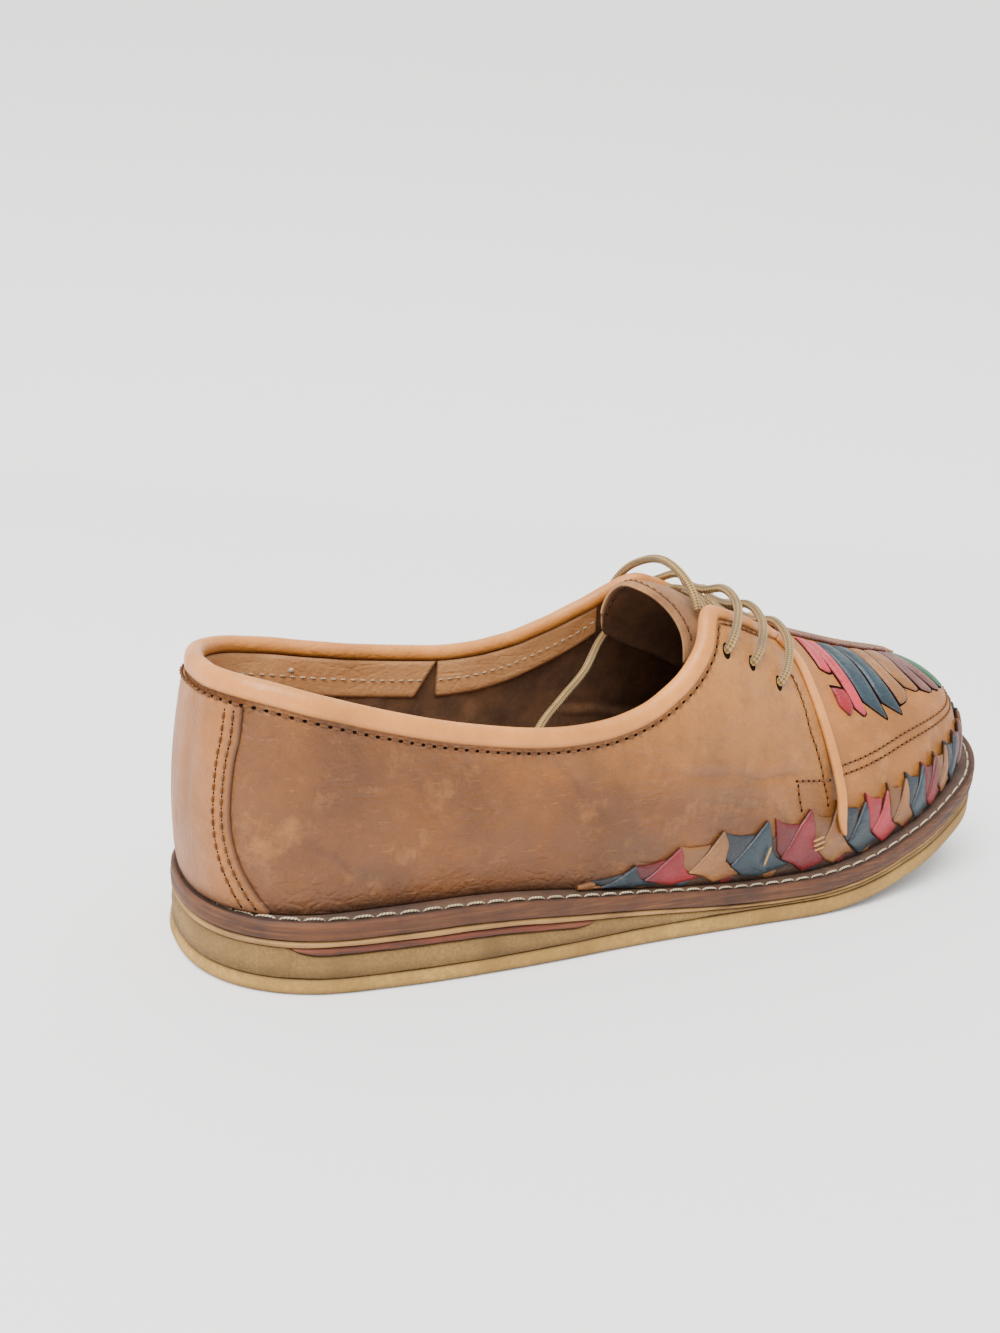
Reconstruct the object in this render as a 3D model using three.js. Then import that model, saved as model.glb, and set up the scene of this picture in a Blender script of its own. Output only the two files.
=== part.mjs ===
// A right-foot woven-vamp lace-up shoe: crepe sole with a low wedge, stitched midsole ledge,
// one hollow leather upper, and the pieces laid over and under it.
// Millimetres. +X runs from heel to toe, +Z is up, -Y is the outer (lateral) side of the foot.

import * as THREE from 'three';
import * as BufferGeometryUtils from 'three/addons/utils/BufferGeometryUtils.js';

// ---------------------------------------------------------------- driving sizes

const SOLE_LENGTH = 294;
const HEEL_END = -145;
const TOE_END = HEEL_END + SOLE_LENGTH;
const HEEL_ROUND = { radius: 38, power: 2.35 };   // how far the round end of the heel reaches
const TOE_ROUND = { radius: 62, power: 2.2 };
const TOE_SPRING = { start: 38, lift: 29, power: 1.75 };
const INSOLE = { thickness: 2.4, clearance: 0.5 };
const GAP = 0.3;                                  // between curved pieces that meet
const WALL = 2.2;                                 // upper leather with its lining
const OUTSOLE_EDGE_ROUND = 1.6;
const EDGE_INSET = { wedge: 0.6, runner: 0.3, midsole: 0.2 };   // in from the outsole's outline
const STATIONS = 42;                              // stations from heel to toe, on each side
const RISERS = 11;                                // steps from the ledge to the ridge

// Outline of the sole: the middle line and the reach to each side, before the ends are rounded.
const OUTLINE = [
  { along: -145, middle: 2.5, lateral: 37.0, medial: 37.0 },
  { along: -116, middle: 2.0, lateral: 39.2, medial: 37.2 },
  { along: -90, middle: 1.0, lateral: 41.9, medial: 36.5 },
  { along: -58, middle: 0.0, lateral: 43.4, medial: 35.5 },
  { along: -23, middle: 0.0, lateral: 44.7, medial: 35.5 },
  { along: 14, middle: 0.0, lateral: 47.5, medial: 40.5 },
  { along: 43, middle: 0.0, lateral: 50.0, medial: 47.5 },
  { along: 64, middle: 0.0, lateral: 50.2, medial: 51.5 },
  { along: 87, middle: 0.0, lateral: 48.0, medial: 51.5 },
  { along: 110, middle: 0.0, lateral: 45.8, medial: 49.3 },
  { along: 128, middle: 0.0, lateral: 46.5, medial: 48.0 },
  { along: 145, middle: 0.0, lateral: 46.0, medial: 47.0 },
];

// Heights in the sole's stack above its underside: top of the outsole, of the wedge,
// of the thin leather layer, and of the midsole ledge.
const STACK = [
  { along: -145, outsole: 4.0, wedge: 12.2, layer: 14.1, ledge: 19.0 },
  { along: -110, outsole: 4.0, wedge: 12.7, layer: 14.6, ledge: 19.5 },
  { along: -72, outsole: 4.2, wedge: 12.8, layer: 14.8, ledge: 19.7 },
  { along: -30, outsole: 4.8, wedge: 9.5, layer: 11.3, ledge: 16.1 },
  { along: 14, outsole: 5.3, wedge: 6.6, layer: 7.9, ledge: 12.8 },
  { along: 60, outsole: 5.5, wedge: 7.2, layer: 8.5, ledge: 13.6 },
  { along: 100, outsole: 5.8, wedge: 8.4, layer: 9.9, ledge: 15.4 },
  { along: 145, outsole: 6.0, wedge: 9.2, layer: 10.9, ledge: 16.5 },
];

// Sections of the last. Each side of a section is one cubic arc from the feather edge, where
// the upper meets the ledge, to the ridge: inset is the ledge's width there, bulge and rise
// place the arc's first handle, and the shoulders say how far out its second handle stays.
const LAST = [
  { along: -145, inset: 2.8, bulge: 6.0, rise: 24, lateral: 1.03, medial: 1.03, ridge: 125, lean: 2 },
  { along: -128, inset: 4.2, bulge: 5.0, rise: 24, lateral: 0.98, medial: 0.98, ridge: 125, lean: 2 },
  { along: -100, inset: 6.2, bulge: 4.0, rise: 24, lateral: 0.78, medial: 0.84, ridge: 124, lean: 2 },
  { along: -58, inset: 7.0, bulge: 3.5, rise: 24, lateral: 0.66, medial: 0.84, ridge: 119, lean: 2 },
  { along: -20, inset: 4.6, bulge: 2.0, rise: 30, lateral: 0.78, medial: 0.90, ridge: 111, lean: 2 },
  { along: 5, inset: 5.4, bulge: 1.5, rise: 42, lateral: 0.86, medial: 0.86, ridge: 102, lean: 2 },
  { along: 50, inset: 6.2, bulge: 2.0, rise: 26, lateral: 0.58, medial: 0.58, ridge: 84.5, lean: 2 },
  { along: 75, inset: 6.2, bulge: 3.0, rise: 23, lateral: 0.57, medial: 0.57, ridge: 79.0, lean: 1 },
  { along: 98, inset: 6.2, bulge: 3.0, rise: 22, lateral: 0.62, medial: 0.62, ridge: 75.5, lean: 0 },
  { along: 125, inset: 7.0, bulge: 3.0, rise: 20, lateral: 0.76, medial: 0.76, ridge: 73.0, lean: 0 },
  { along: 145, inset: 8.0, bulge: 2.5, rise: 20, lateral: 0.86, medial: 0.86, ridge: 70.0, lean: 0 },
];
// A thin strip of leather let into the top of the wedge, thinning to nothing at both ends.
const SHIM = { from: -125, to: -43, thickness: 2.1, taper: 14 };
const RIDGE_ENDS = { heel: -104, toe: 103, blend: 14 };

// Height of the collar's edge on each side, up to the corner of the facing.
const COLLAR = [
  { along: -145, lateral: 73.5, medial: 73.5 },
  { along: -134, lateral: 73.0, medial: 73.4 },
  { along: -122, lateral: 70.5, medial: 72.4 },
  { along: -100, lateral: 65.2, medial: 70.6 },
  { along: -80, lateral: 61.5, medial: 69.6 },
  { along: -58, lateral: 59.2, medial: 69.6 },
  { along: -40, lateral: 60.2, medial: 72.4 },
  { along: -25, lateral: 64.6, medial: 77.5 },
  { along: -12, lateral: 72.5, medial: 83.5 },
  { along: -3, lateral: 81.5, medial: 89.5 },
  { along: 4, lateral: 92.0, medial: 96.0 },
  { along: 12, lateral: 105.0, medial: 105.0 },
];
// Distance of each facing's edge from the middle, from its corner to the front of the throat.
const THROAT = { front: 46, step: 2, cornerRound: 0.05 };
const CLIMB = { from: -34, to: 18, spacing: 3.5 };
const FACING = [
  { along: -20, lateral: 27, medial: 21 },
  { along: 2, lateral: 24, medial: 17.5 },
  { along: 25, lateral: 19, medial: 14 },
  { along: 46, lateral: 14.5, medial: 11.5 },
];

// The woven band's height above the ledge.
const BAND = [
  { along: -46, height: 2.0 },
  { along: -26, height: 7.0 },
  { along: -9, height: 13.0 },
  { along: 12, height: 17.0 },
  { along: 34, height: 19.0 },
  { along: 85, height: 18.5 },
  { along: 120, height: 17.5 },
  { along: 149, height: 16.0 },
];
const BAND_PROUD = 1.8;
const BAND_ROWS = 3;
const BACKSTAY = { reach: -136, steps: 7, foot: 0.01, belowTop: 0.012, proud: 1.2 };
// The quarter's front edge slants forward on its way down from the throat.
const FRONT_BINDING = {
  width: 5.0, clear: 0.45, proud: 1.9, belowTop: 0.012, top: 44.5, foot: 53, rows: 10,
};

// Section of the rolled binding: outward from the wall's outer face, and over its edge.
const BINDING_SECTION = [
  { outward: 0.9, over: 0.5 },
  { outward: 1.3, over: 1.8 },
  { outward: 0.9, over: 3.6 },
  { outward: -0.5, over: 4.4 },
  { outward: -1.9, over: 4.4 },
  { outward: -3.1, over: 3.5 },
  { outward: -3.4, over: 1.8 },
  { outward: -3.0, over: 0.5 },
];

// The tongue is an arch across the foot: its reach to each side, the height of its crest,
// and how far below the crest the arch would come down if it ran on to the vertical.
const TONGUE = [
  { along: -9, lateral: 17.0, medial: 13.5, crest: 97.6, depth: 13.0 },
  { along: -6, lateral: 21.5, medial: 16.0, crest: 98.0, depth: 20.0 },
  { along: -1, lateral: 22.5, medial: 17.0, crest: 98.0, depth: 23.0 },
  { along: 6, lateral: 22.5, medial: 17.5, crest: 96.2, depth: 24.0 },
  { along: 18, lateral: 21.0, medial: 16.5, crest: 92.2, depth: 24.0 },
  { along: 30, lateral: 19.5, medial: 15.5, crest: 87.2, depth: 23.0 },
  { along: 41, lateral: 18.0, medial: 15.0, crest: 83.0, depth: 20.0 },
  { along: 53, lateral: 17.5, medial: 14.5, crest: 80.0, depth: 18.0 },
];
const TONGUE_ROWS = [-9, -7.8, -6, -3.5, 0, 6, 13, 21, 30, 41, 53];
const TONGUE_ARC = { steps: 10, reach: Math.PI / 2.15 };
const TONGUE_THICKNESS = 1.8;

const LACE_RADIUS = 1.35;
// The eyelets: how far each lies from the middle on each side.
const EYELETS = [
  { along: 5.6, lateral: 29.7, medial: 24.0 },
  { along: 17.3, lateral: 29.3, medial: 24.0 },
  { along: 29.9, lateral: 29.5, medial: 24.5 },
];
// Half of a lace's crossing, from an eyelet to the middle of the throat, chosen by hand:
// forward of the eyelet, in towards the middle, and above the last's surface there.
const CROSSING = [
  { forward: 0, inward: 0, above: 1.9 },
  { forward: 4.5, inward: 4.5, above: 2.6 },
  { forward: 7.5, inward: 8.5, above: 3.5 },
  { forward: 9.5, inward: 12, above: 3.8 },
  { forward: 10.5, inward: 16, above: 3.8 },
  { forward: 11, inward: 19.5, above: 3.0 },
  { forward: 11, inward: 22, above: 1.2 },
  { forward: 11, inward: 24.5, above: -0.3 },
];
const LACE_SPREAD = 29.5;            // the reach to the eyelet that the crossing is set out for
const CROSSING_STEPS = 26;
// Routes of the loose loop over the top of the throat and of the free end inside the shoe,
// chosen by hand.
const LACE_LOOP = [
  { x: 1.0, y: 26.9, z: 87.5 },
  { x: 2.4, y: 25.2, z: 93.2 },
  { x: 4.4, y: 21.0, z: 99.4 },
  { x: 6.0, y: 14.0, z: 103.2 },
  { x: 6.4, y: 7.0, z: 104.4 },
  { x: 6.3, y: 0.0, z: 103.2 },
  { x: 6.3, y: -8.0, z: 99.1 },
  { x: 5.8, y: -13.2, z: 94.4 },
  { x: 5.2, y: -15.6, z: 91.2 },
];
const LACE_END = [
  { x: 4.0, y: 20.7, z: 83.6 },
  { x: -3.0, y: 20.8, z: 75.4 },
  { x: -14.6, y: 12.5, z: 66.4 },
  { x: -26.6, y: 6.5, z: 59.3 },
  { x: -38.1, y: 0.0, z: 52.4 },
  { x: -46.0, y: -8.0, z: 44.5 },
  { x: -51.0, y: -16.0, z: 36.0 },
  { x: -56.0, y: -22.0, z: 28.2 },
  { x: -64.0, y: -25.0, z: 25.0 },
  { x: -76.0, y: -24.5, z: 24.6 },
  { x: -90.0, y: -22.0, z: 24.6 },
];

// ---------------------------------------------------------------- curves from the tables

// A smooth function through one column of a table, flat beyond its ends.
function column(table, name) {
  const slope = table.map((row, i) => {
    if (i === 0 || i === table.length - 1) return 0;
    const before = table[i - 1];
    const after = table[i + 1];
    return (after[name] - before[name]) / (after.along - before.along);
  });
  return (x) => {
    if (x <= table[0].along) return table[0][name];
    if (x >= table.at(-1).along) return table.at(-1)[name];
    const i = table.findIndex((row) => row.along > x) - 1;
    const [a, b] = [table[i], table[i + 1]];
    const span = b.along - a.along;
    const t = (x - a.along) / span;
    const ease = t * t * (3 - 2 * t);
    return a[name] + (b[name] - a[name]) * ease
      + span * t * (1 - t) * ((1 - t) * slope[i] - t * slope[i + 1]);
  };
}

const middle = column(OUTLINE, 'middle');
const reach = { lateral: column(OUTLINE, 'lateral'), medial: column(OUTLINE, 'medial') };
const stack = {
  outsole: column(STACK, 'outsole'),
  wedge: column(STACK, 'wedge'),
  layer: column(STACK, 'layer'),
  ledge: column(STACK, 'ledge'),
};
const last = Object.fromEntries(
  Object.keys(LAST[0]).slice(1).map((name) => [name, column(LAST, name)]),
);
const collar = { lateral: column(COLLAR, 'lateral'), medial: column(COLLAR, 'medial') };
const facing = { lateral: column(FACING, 'lateral'), medial: column(FACING, 'medial') };
const SIGN = { lateral: -1, medial: 1 };
const asPoint = ({ x, y, z }) => new THREE.Vector3(x, y, z);

const underside = (x) => {
  const run = Math.max(0, x - TOE_SPRING.start) / (TOE_END - TOE_SPRING.start);
  return TOE_SPRING.lift * run ** TOE_SPRING.power;
};
const height = (name, x) => underside(x) + stack[name](x);

// Closes the outline at heel and toe: 1 along the middle, falling to 0 at each end.
function roundEnds(x, inset) {
  const heelStart = HEEL_END + HEEL_ROUND.radius;
  const toeStart = TOE_END - TOE_ROUND.radius;
  const end = x < 0 ? HEEL_ROUND : TOE_ROUND;
  const far = x < 0 ? (heelStart - x) : (x - toeStart);
  const k = Math.min(1, Math.max(0, far / (end.radius - inset)));
  return (1 - k ** end.power) ** (1 / end.power);
}

// A point of the sole's outline moved in by an inset, at fraction u from heel to toe.
function outlinePoint(side, u, inset) {
  const from = HEEL_END + inset(HEEL_END);
  const to = TOE_END - inset(TOE_END);
  const x = from + (to - from) * (1 - Math.cos(Math.PI * u)) / 2;
  const endInset = inset(x < 0 ? HEEL_END : TOE_END);
  const half = (reach[side](x) - inset(x)) * roundEnds(x, endInset);
  return new THREE.Vector2(x, middle(x) + SIGN[side] * half);
}

const softClamp = (x) => {
  const { heel, toe, blend } = RIDGE_ENDS;
  const soft = (d) => (Math.sqrt(d * d + blend * blend) + d) / 2;
  return x + soft(heel - x) - soft(x - toe);
};

// ---------------------------------------------------------------- the last's surface

const ridgeSlope = (x) => (last.ridge(x + 1) - last.ridge(x - 1)) / 2;

// The point of the upper's outer face at station u on one side, at fraction t of the way
// from the feather edge (0) up and over to the ridge (1).
function lastPoint(side, u, t) {
  const foot = outlinePoint(side, u, last.inset);
  const ridgeX = softClamp(foot.x);
  const ridge = new THREE.Vector3(ridgeX, last.lean(ridgeX), last.ridge(ridgeX));
  const start = new THREE.Vector3(foot.x, foot.y, height('ledge', foot.x) + GAP);
  const out = new THREE.Vector3(foot.x - ridge.x, foot.y - ridge.y, 0);
  const outward = out.clone().normalize();
  const handle = start.clone().addScaledVector(outward, last.bulge(foot.x));
  handle.z += last.rise(foot.x);
  const shoulder = ridge.clone().addScaledVector(out, last[side](foot.x));
  shoulder.z += ridgeSlope(ridgeX) * (shoulder.x - ridge.x);
  return new THREE.CubicBezierCurve3(start, handle, shoulder, ridge).getPoint(t);
}

// Outward normal of that face. On the ridge it is taken from the ridge's own slope, so that
// both sides agree, and at the two tips from the fore-and-aft curve.
function lastNormal(side, u, t) {
  const du = 0.004;
  const dt = 0.01;
  const onRidge = t > 1 - 1e-6;
  const back = lastPoint(side, Math.max(0, u - du), t);
  const along = lastPoint(side, Math.min(1, u + du), t).sub(back);
  if (onRidge) return new THREE.Vector3(-along.z, 0, along.x).normalize();
  const low = lastPoint(side, u, Math.max(0, t - dt));
  const upward = lastPoint(side, u, Math.min(1, t + dt)).sub(low);
  const atTip = u < 1e-6 || u > 1 - 1e-6;
  if (atTip) {
    const outward = u < 0.5 ? -1 : 1;
    return new THREE.Vector3(outward * upward.z, 0, -outward * upward.x).normalize();
  }
  const normal = along.cross(upward).normalize();
  return side === 'medial' ? normal.negate() : normal;
}

const offsetPoint = (side, u, t, distance) => (
  lastPoint(side, u, t).addScaledVector(lastNormal(side, u, t), distance)
);

// Finds the fraction t where a measure of the surface point reaches a target.
function solveFraction(side, u, measure, target) {
  let [low, high] = [0, 1];
  for (let step = 0; step < 24; step += 1) {
    const t = (low + high) / 2;
    if (measure(lastPoint(side, u, t)) < target) low = t;
    else high = t;
  }
  return (low + high) / 2;
}

// The smaller of two numbers, with the corner between them rounded over a width.
function roundedMin(a, b, width) {
  const k = Math.max(0, width - Math.abs(a - b)) / width;
  return Math.min(a, b) - width * k * k / 4;
}

// Fraction t of the upper's top edge: the collar, then the facing, then closed at the ridge.
function topEdge(side, u) {
  const x = outlinePoint(side, u, last.inset).x;
  if (x > THROAT.front + THROAT.step / 2) return 1;
  const byHeight = solveFraction(side, u, (p) => p.z, collar[side](x));
  if (x < CLIMB.from) return byHeight;
  const byReach = solveFraction(side, u, (p) => SIGN[side] * -p.y, -facing[side](x));
  return roundedMin(byHeight, byReach, THROAT.cornerRound);
}

// ---------------------------------------------------------------- meshes

class Faces {
  constructor() { this.positions = []; }

  triangle(a, b, c) {
    for (const p of [a, b, c]) this.positions.push(p.x, p.y, p.z);
  }

  quad(a, b, c, d) {
    this.triangle(a, b, c);
    this.triangle(a, c, d);
  }

  // Welds equal corners, and drops triangles closed up to a line and pairs back to back.
  geometry() {
    const loose = new THREE.BufferGeometry();
    loose.setAttribute('position', new THREE.Float32BufferAttribute(this.positions, 3));
    const welded = BufferGeometryUtils.mergeVertices(loose, 1e-3);
    const index = welded.index.array;
    const kept = new Map();
    for (let i = 0; i < index.length; i += 3) {
      const corners = [index[i], index[i + 1], index[i + 2]];
      const key = [...corners].sort((a, b) => a - b).join();
      if (new Set(corners).size < 3) continue;
      if (kept.has(key)) kept.delete(key);
      else kept.set(key, corners);
    }
    welded.setIndex([...kept.values()].flat());
    return facingOut(welded);
  }
}

// Turns the faces round where the volume they enclose comes out negative.
function facingOut(geometry) {
  const p = geometry.attributes.position;
  const index = geometry.index.array;
  const corner = (i) => new THREE.Vector3().fromBufferAttribute(p, index[i]);
  let volume = 0;
  for (let i = 0; i < index.length; i += 3) {
    volume += corner(i).dot(corner(i + 1).cross(corner(i + 2)));
  }
  if (volume < 0) {
    for (let i = 0; i < index.length; i += 3) {
      [index[i], index[i + 1]] = [index[i + 1], index[i]];
    }
  }
  geometry.computeVertexNormals();
  return geometry;
}

// Joins closed sections with the same number of points, and closes the two ends.
function loft(sections) {
  const faces = new Faces();
  const count = sections[0].length;
  for (let s = 0; s + 1 < sections.length; s += 1) {
    for (let i = 0; i < count; i += 1) {
      const j = (i + 1) % count;
      faces.quad(sections[s][i], sections[s][j], sections[s + 1][j], sections[s + 1][i]);
    }
  }
  const [first, final] = [sections[0], sections.at(-1)];
  for (let i = 1; i + 1 < count; i += 1) {
    faces.triangle(first[0], first[i + 1], first[i]);
    faces.triangle(final[0], final[i], final[i + 1]);
  }
  return faces.geometry();
}

// A curved sheet with thickness. Each column has an outer and an inner row of points; where
// two neighbours are shut at the top, the sheet runs on over the ridge and has no edge there.
function sheet(columns, isLoop) {
  const faces = new Faces();
  const rows = columns[0].outer.length - 1;
  const pairs = isLoop ? columns.length : columns.length - 1;
  for (let c = 0; c < pairs; c += 1) {
    const a = columns[c];
    const b = columns[(c + 1) % columns.length];
    for (let i = 0; i < rows; i += 1) {
      faces.quad(a.outer[i], b.outer[i], b.outer[i + 1], a.outer[i + 1]);
      faces.quad(a.inner[i], a.inner[i + 1], b.inner[i + 1], b.inner[i]);
    }
    faces.quad(a.outer[0], a.inner[0], b.inner[0], b.outer[0]);
    if (!(a.shut && b.shut)) {
      faces.quad(a.outer[rows], b.outer[rows], b.inner[rows], a.inner[rows]);
    }
  }
  if (!isLoop) {
    for (const [column, flip] of [[columns[0], false], [columns.at(-1), true]]) {
      const { outer, inner } = column;
      for (let i = 0; i < rows; i += 1) {
        const quad = [outer[i], outer[i + 1], inner[i + 1], inner[i]];
        if (flip) quad.reverse();
        faces.quad(...quad);
      }
    }
  }
  return faces.geometry();
}

// ---------------------------------------------------------------- stations

const footX = (u) => outlinePoint('lateral', u, last.inset).x;

function stationAt(x) {
  let [low, high] = [0, 1];
  for (let step = 0; step < 40; step += 1) {
    const u = (low + high) / 2;
    if (footX(u) < x) low = u;
    else high = u;
  }
  return (low + high) / 2;
}

// Even stations, with closer ones where the collar climbs to the facing, and a pair that
// bounds the front of the throat.
function stationList() {
  const list = [];
  for (let i = 0; i <= STATIONS; i += 1) {
    const x = footX(i / STATIONS);
    if (x < CLIMB.from || x > CLIMB.to) list.push(i / STATIONS);
  }
  for (let x = CLIMB.from; x <= CLIMB.to; x += CLIMB.spacing) list.push(stationAt(x));
  const pair = [THROAT.front, THROAT.front + THROAT.step].map(stationAt);
  const apart = 0.3 / STATIONS;
  const kept = list.filter((u) => pair.every((e) => Math.abs(e - u) > apart));
  return [...kept, ...pair].sort((a, b) => a - b);
}

// ---------------------------------------------------------------- the sole

// Flat layer of the sole between two heights, with its lower edge rounded if asked, over the
// whole length or between two places along it.
function soleLayer(low, high, inset, edgeRound = 0, from = HEEL_END, to = TOE_END) {
  const flat = (d) => () => d;
  const steps = edgeRound > 0
    ? [[inset + edgeRound, 0], [inset + edgeRound * 0.3, edgeRound * 0.3], [inset, edgeRound]]
    : [[inset, 0]];
  const sections = [];
  for (let i = 0; i <= STATIONS; i += 1) {
    const u = i / STATIONS;
    const { x } = outlinePoint('lateral', u, flat(inset));
    if (x < from || x > to) continue;
    const sides = { lateral: [], medial: [] };
    for (const side of ['lateral', 'medial']) {
      for (const [d, rise] of steps) {
        const p = outlinePoint(side, u, flat(d));
        sides[side].push(new THREE.Vector3(p.x, p.y, low(p.x) + rise));
      }
      const p = outlinePoint(side, u, flat(inset));
      sides[side].push(new THREE.Vector3(p.x, p.y, high(p.x)));
    }
    sections.push([...sides.lateral, ...sides.medial.reverse()]);
  }
  return loft(sections);
}

const heightOf = (name, drop = 0) => (x) => height(name, x) - drop;

const outsole = () => soleLayer(underside, heightOf('outsole'), 0, OUTSOLE_EDGE_ROUND);
const runner = () => soleLayer(heightOf('wedge', -GAP), heightOf('layer'), EDGE_INSET.runner);
const midsole = () => soleLayer(heightOf('layer', -GAP), heightOf('ledge'), EDGE_INSET.midsole);

const shimThickness = (x) => {
  const fromEnd = Math.min(x - SHIM.from, SHIM.to - x);
  return SHIM.thickness * Math.sqrt(Math.min(1, Math.max(0, fromEnd / SHIM.taper)));
};
const shimFloor = (x) => height('wedge', x) - shimThickness(x);
const wedgeTop = (x) => shimFloor(x) - (shimThickness(x) > 0 ? GAP : 0);
const wedge = () => soleLayer(heightOf('outsole', -GAP), wedgeTop, EDGE_INSET.wedge);
const shim = () => (
  soleLayer(shimFloor, heightOf('wedge'), EDGE_INSET.wedge, 0, SHIM.from, SHIM.to)
);

// The insole lies on the midsole, inside the upper's foot.
function insole() {
  const inset = (x) => last.inset(x) + WALL + INSOLE.clearance;
  const sections = [];
  for (let i = 0; i <= STATIONS; i += 1) {
    const u = i / STATIONS;
    const lateral = outlinePoint('lateral', u, inset);
    const medial = outlinePoint('medial', u, inset);
    const at = (p, rise) => new THREE.Vector3(p.x, p.y, height('ledge', p.x) + GAP + rise);
    sections.push([at(lateral, 0), at(lateral, INSOLE.thickness),
      at(medial, INSOLE.thickness), at(medial, 0)]);
  }
  return loft(sections);
}

// ---------------------------------------------------------------- the upper

// One column of a sheet on the last, between two fractions and two offsets.
function lastColumn(side, u, from, to, outerOffset, innerOffset, rows) {
  const outer = [];
  const inner = [];
  for (let i = 0; i <= rows; i += 1) {
    const t = from + (to - from) * i / rows;
    outer.push(offsetPoint(side, u, t, outerOffset));
    inner.push(offsetPoint(side, u, t, innerOffset));
  }
  return { outer, inner };
}

// Sets the foot of a sheet just above the ledge.
function standOnLedge(...points) {
  for (const p of points) p.z = height('ledge', p.x) + GAP;
}

// The rows of the upper lie at the same fractions all round, and stop at its top edge.
function upperColumn(side, u) {
  const top = topEdge(side, u);
  const outer = [];
  const inner = [];
  for (let i = 0; i <= RISERS; i += 1) {
    const t = Math.min(i / RISERS, top);
    outer.push(offsetPoint(side, u, t, 0));
    inner.push(offsetPoint(side, u, t, -WALL));
  }
  standOnLedge(outer[0], inner[0]);
  return { outer, inner, shut: top === 1 };
}

function upper() {
  const stations = stationList();
  const lateral = stations.map((u) => upperColumn('lateral', u));
  const medial = stations.slice(1, -1).map((u) => upperColumn('medial', u)).reverse();
  return sheet([...lateral, ...medial], true);
}

// ---------------------------------------------------------------- pieces laid on the upper

// The backstay: a strip over the heel seam, from the ledge to just under the binding.
function backstay() {
  const fan = Array.from({ length: BACKSTAY.steps + 1 }, (_, i) => (
    stationAt(footX(0) + (BACKSTAY.reach - footX(0)) * (i / BACKSTAY.steps) ** 2)
  ));
  const column_ = (side) => (u) => lastColumn(side, u, BACKSTAY.foot,
    topEdge(side, u) - BACKSTAY.belowTop, GAP + BACKSTAY.proud, GAP, 8);
  const lateral = fan.map(column_('lateral')).reverse();
  const medial = fan.slice(1).map(column_('medial'));
  return sheet([...lateral, ...medial], false);
}

const bandHeight = column(BAND, 'height');

// The woven band round the foot of the vamp, from one waist round the toe to the other.
function band() {
  const stations = stationList().filter((u) => footX(u) > BAND[0].along);
  const column_ = (side) => (u) => {
    const foot = lastPoint(side, u, 0);
    const top = solveFraction(side, u, (p) => p.z, foot.z + bandHeight(foot.x));
    const rows = lastColumn(side, u, 0, top, GAP + BAND_PROUD, GAP, BAND_ROWS);
    standOnLedge(rows.outer[0], rows.inner[0]);
    return rows;
  };
  const lateral = stations.map(column_('lateral'));
  const medial = stations.slice(0, -1).map(column_('medial')).reverse();
  return sheet([...lateral, ...medial], false);
}

// A binding strip down the front edge of one quarter, from the throat to the woven band.
function frontBinding(side) {
  const { width, clear, proud, belowTop, top, foot, rows } = FRONT_BINDING;
  const high = topEdge(side, stationAt(THROAT.front)) - belowTop;
  const footU = stationAt(foot);
  const ledge = lastPoint(side, footU, 0).z;
  const low = solveFraction(side, footU, (p) => p.z, ledge + bandHeight(foot) + GAP * 2);
  const columns = [-0.5, 0, 0.5].map((across) => {
    const outer = [];
    const inner = [];
    for (let i = 0; i <= rows; i += 1) {
      const u = stationAt(foot + (top - foot) * (i / rows) + across * width);
      const t = low + (high - low) * (i / rows);
      outer.push(offsetPoint(side, u, t, proud));
      inner.push(offsetPoint(side, u, t, clear));
    }
    return { outer, inner };
  });
  return sheet(columns, false);
}

// The binding rolled over the collar and both facings, as one strip from the front of the
// throat round the heel and back. Its section is set out along the wall's normal and beyond
// the edge of the leather.
function toplineBinding() {
  const stations = stationList().filter((u) => footX(u) < THROAT.front + 0.01);
  const edge = (side) => (u) => {
    const t = topEdge(side, u);
    return { point: offsetPoint(side, u, t, 0), normal: lastNormal(side, u, t) };
  };
  const path = [
    ...stations.map(edge('lateral')).reverse(),
    ...stations.slice(1).map(edge('medial')),
  ];
  const sections = path.map(({ point, normal }, i) => {
    const before = path[Math.max(0, i - 1)].point;
    const after = path[Math.min(path.length - 1, i + 1)].point;
    const beyond = after.clone().sub(before).cross(normal).normalize();
    return BINDING_SECTION.map(({ outward, over }) => (
      point.clone().addScaledVector(normal, outward).addScaledVector(beyond, over)
    ));
  });
  return loft(sections);
}

// ---------------------------------------------------------------- the tongue

function tongue() {
  const [crest, depth] = ['crest', 'depth'].map((name) => column(TONGUE, name));
  const half = { lateral: column(TONGUE, 'lateral'), medial: column(TONGUE, 'medial') };
  const { steps, reach: spread } = TONGUE_ARC;
  const columns = TONGUE_ROWS.map((x) => {
    const arc = (sink) => Array.from({ length: steps + 1 }, (_, i) => {
      const angle = spread * (2 * i / steps - 1);
      const across = half[angle < 0 ? 'lateral' : 'medial'](x) - sink;
      const z = crest(x) - sink - depth(x) * (1 - Math.cos(angle));
      return new THREE.Vector3(x, last.lean(x) + across * Math.sin(angle), z);
    });
    return { outer: arc(0), inner: arc(TONGUE_THICKNESS) };
  });
  return sheet(columns, false);
}

// ---------------------------------------------------------------- laces

// A round cord along a list of places.
function cord(points, steps) {
  const sides = 8;
  const section = new THREE.Shape(Array.from({ length: sides }, (_, i) => {
    const angle = 2 * Math.PI * i / sides;
    return new THREE.Vector2(LACE_RADIUS * Math.cos(angle), LACE_RADIUS * Math.sin(angle));
  }));
  const path = new THREE.CatmullRomCurve3(points, false, 'centripetal');
  const tube = new THREE.ExtrudeGeometry(section, { steps, extrudePath: path });
  const faces = new Faces();
  faces.positions = Array.from(tube.attributes.position.array);
  return faces.geometry();
}

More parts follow.
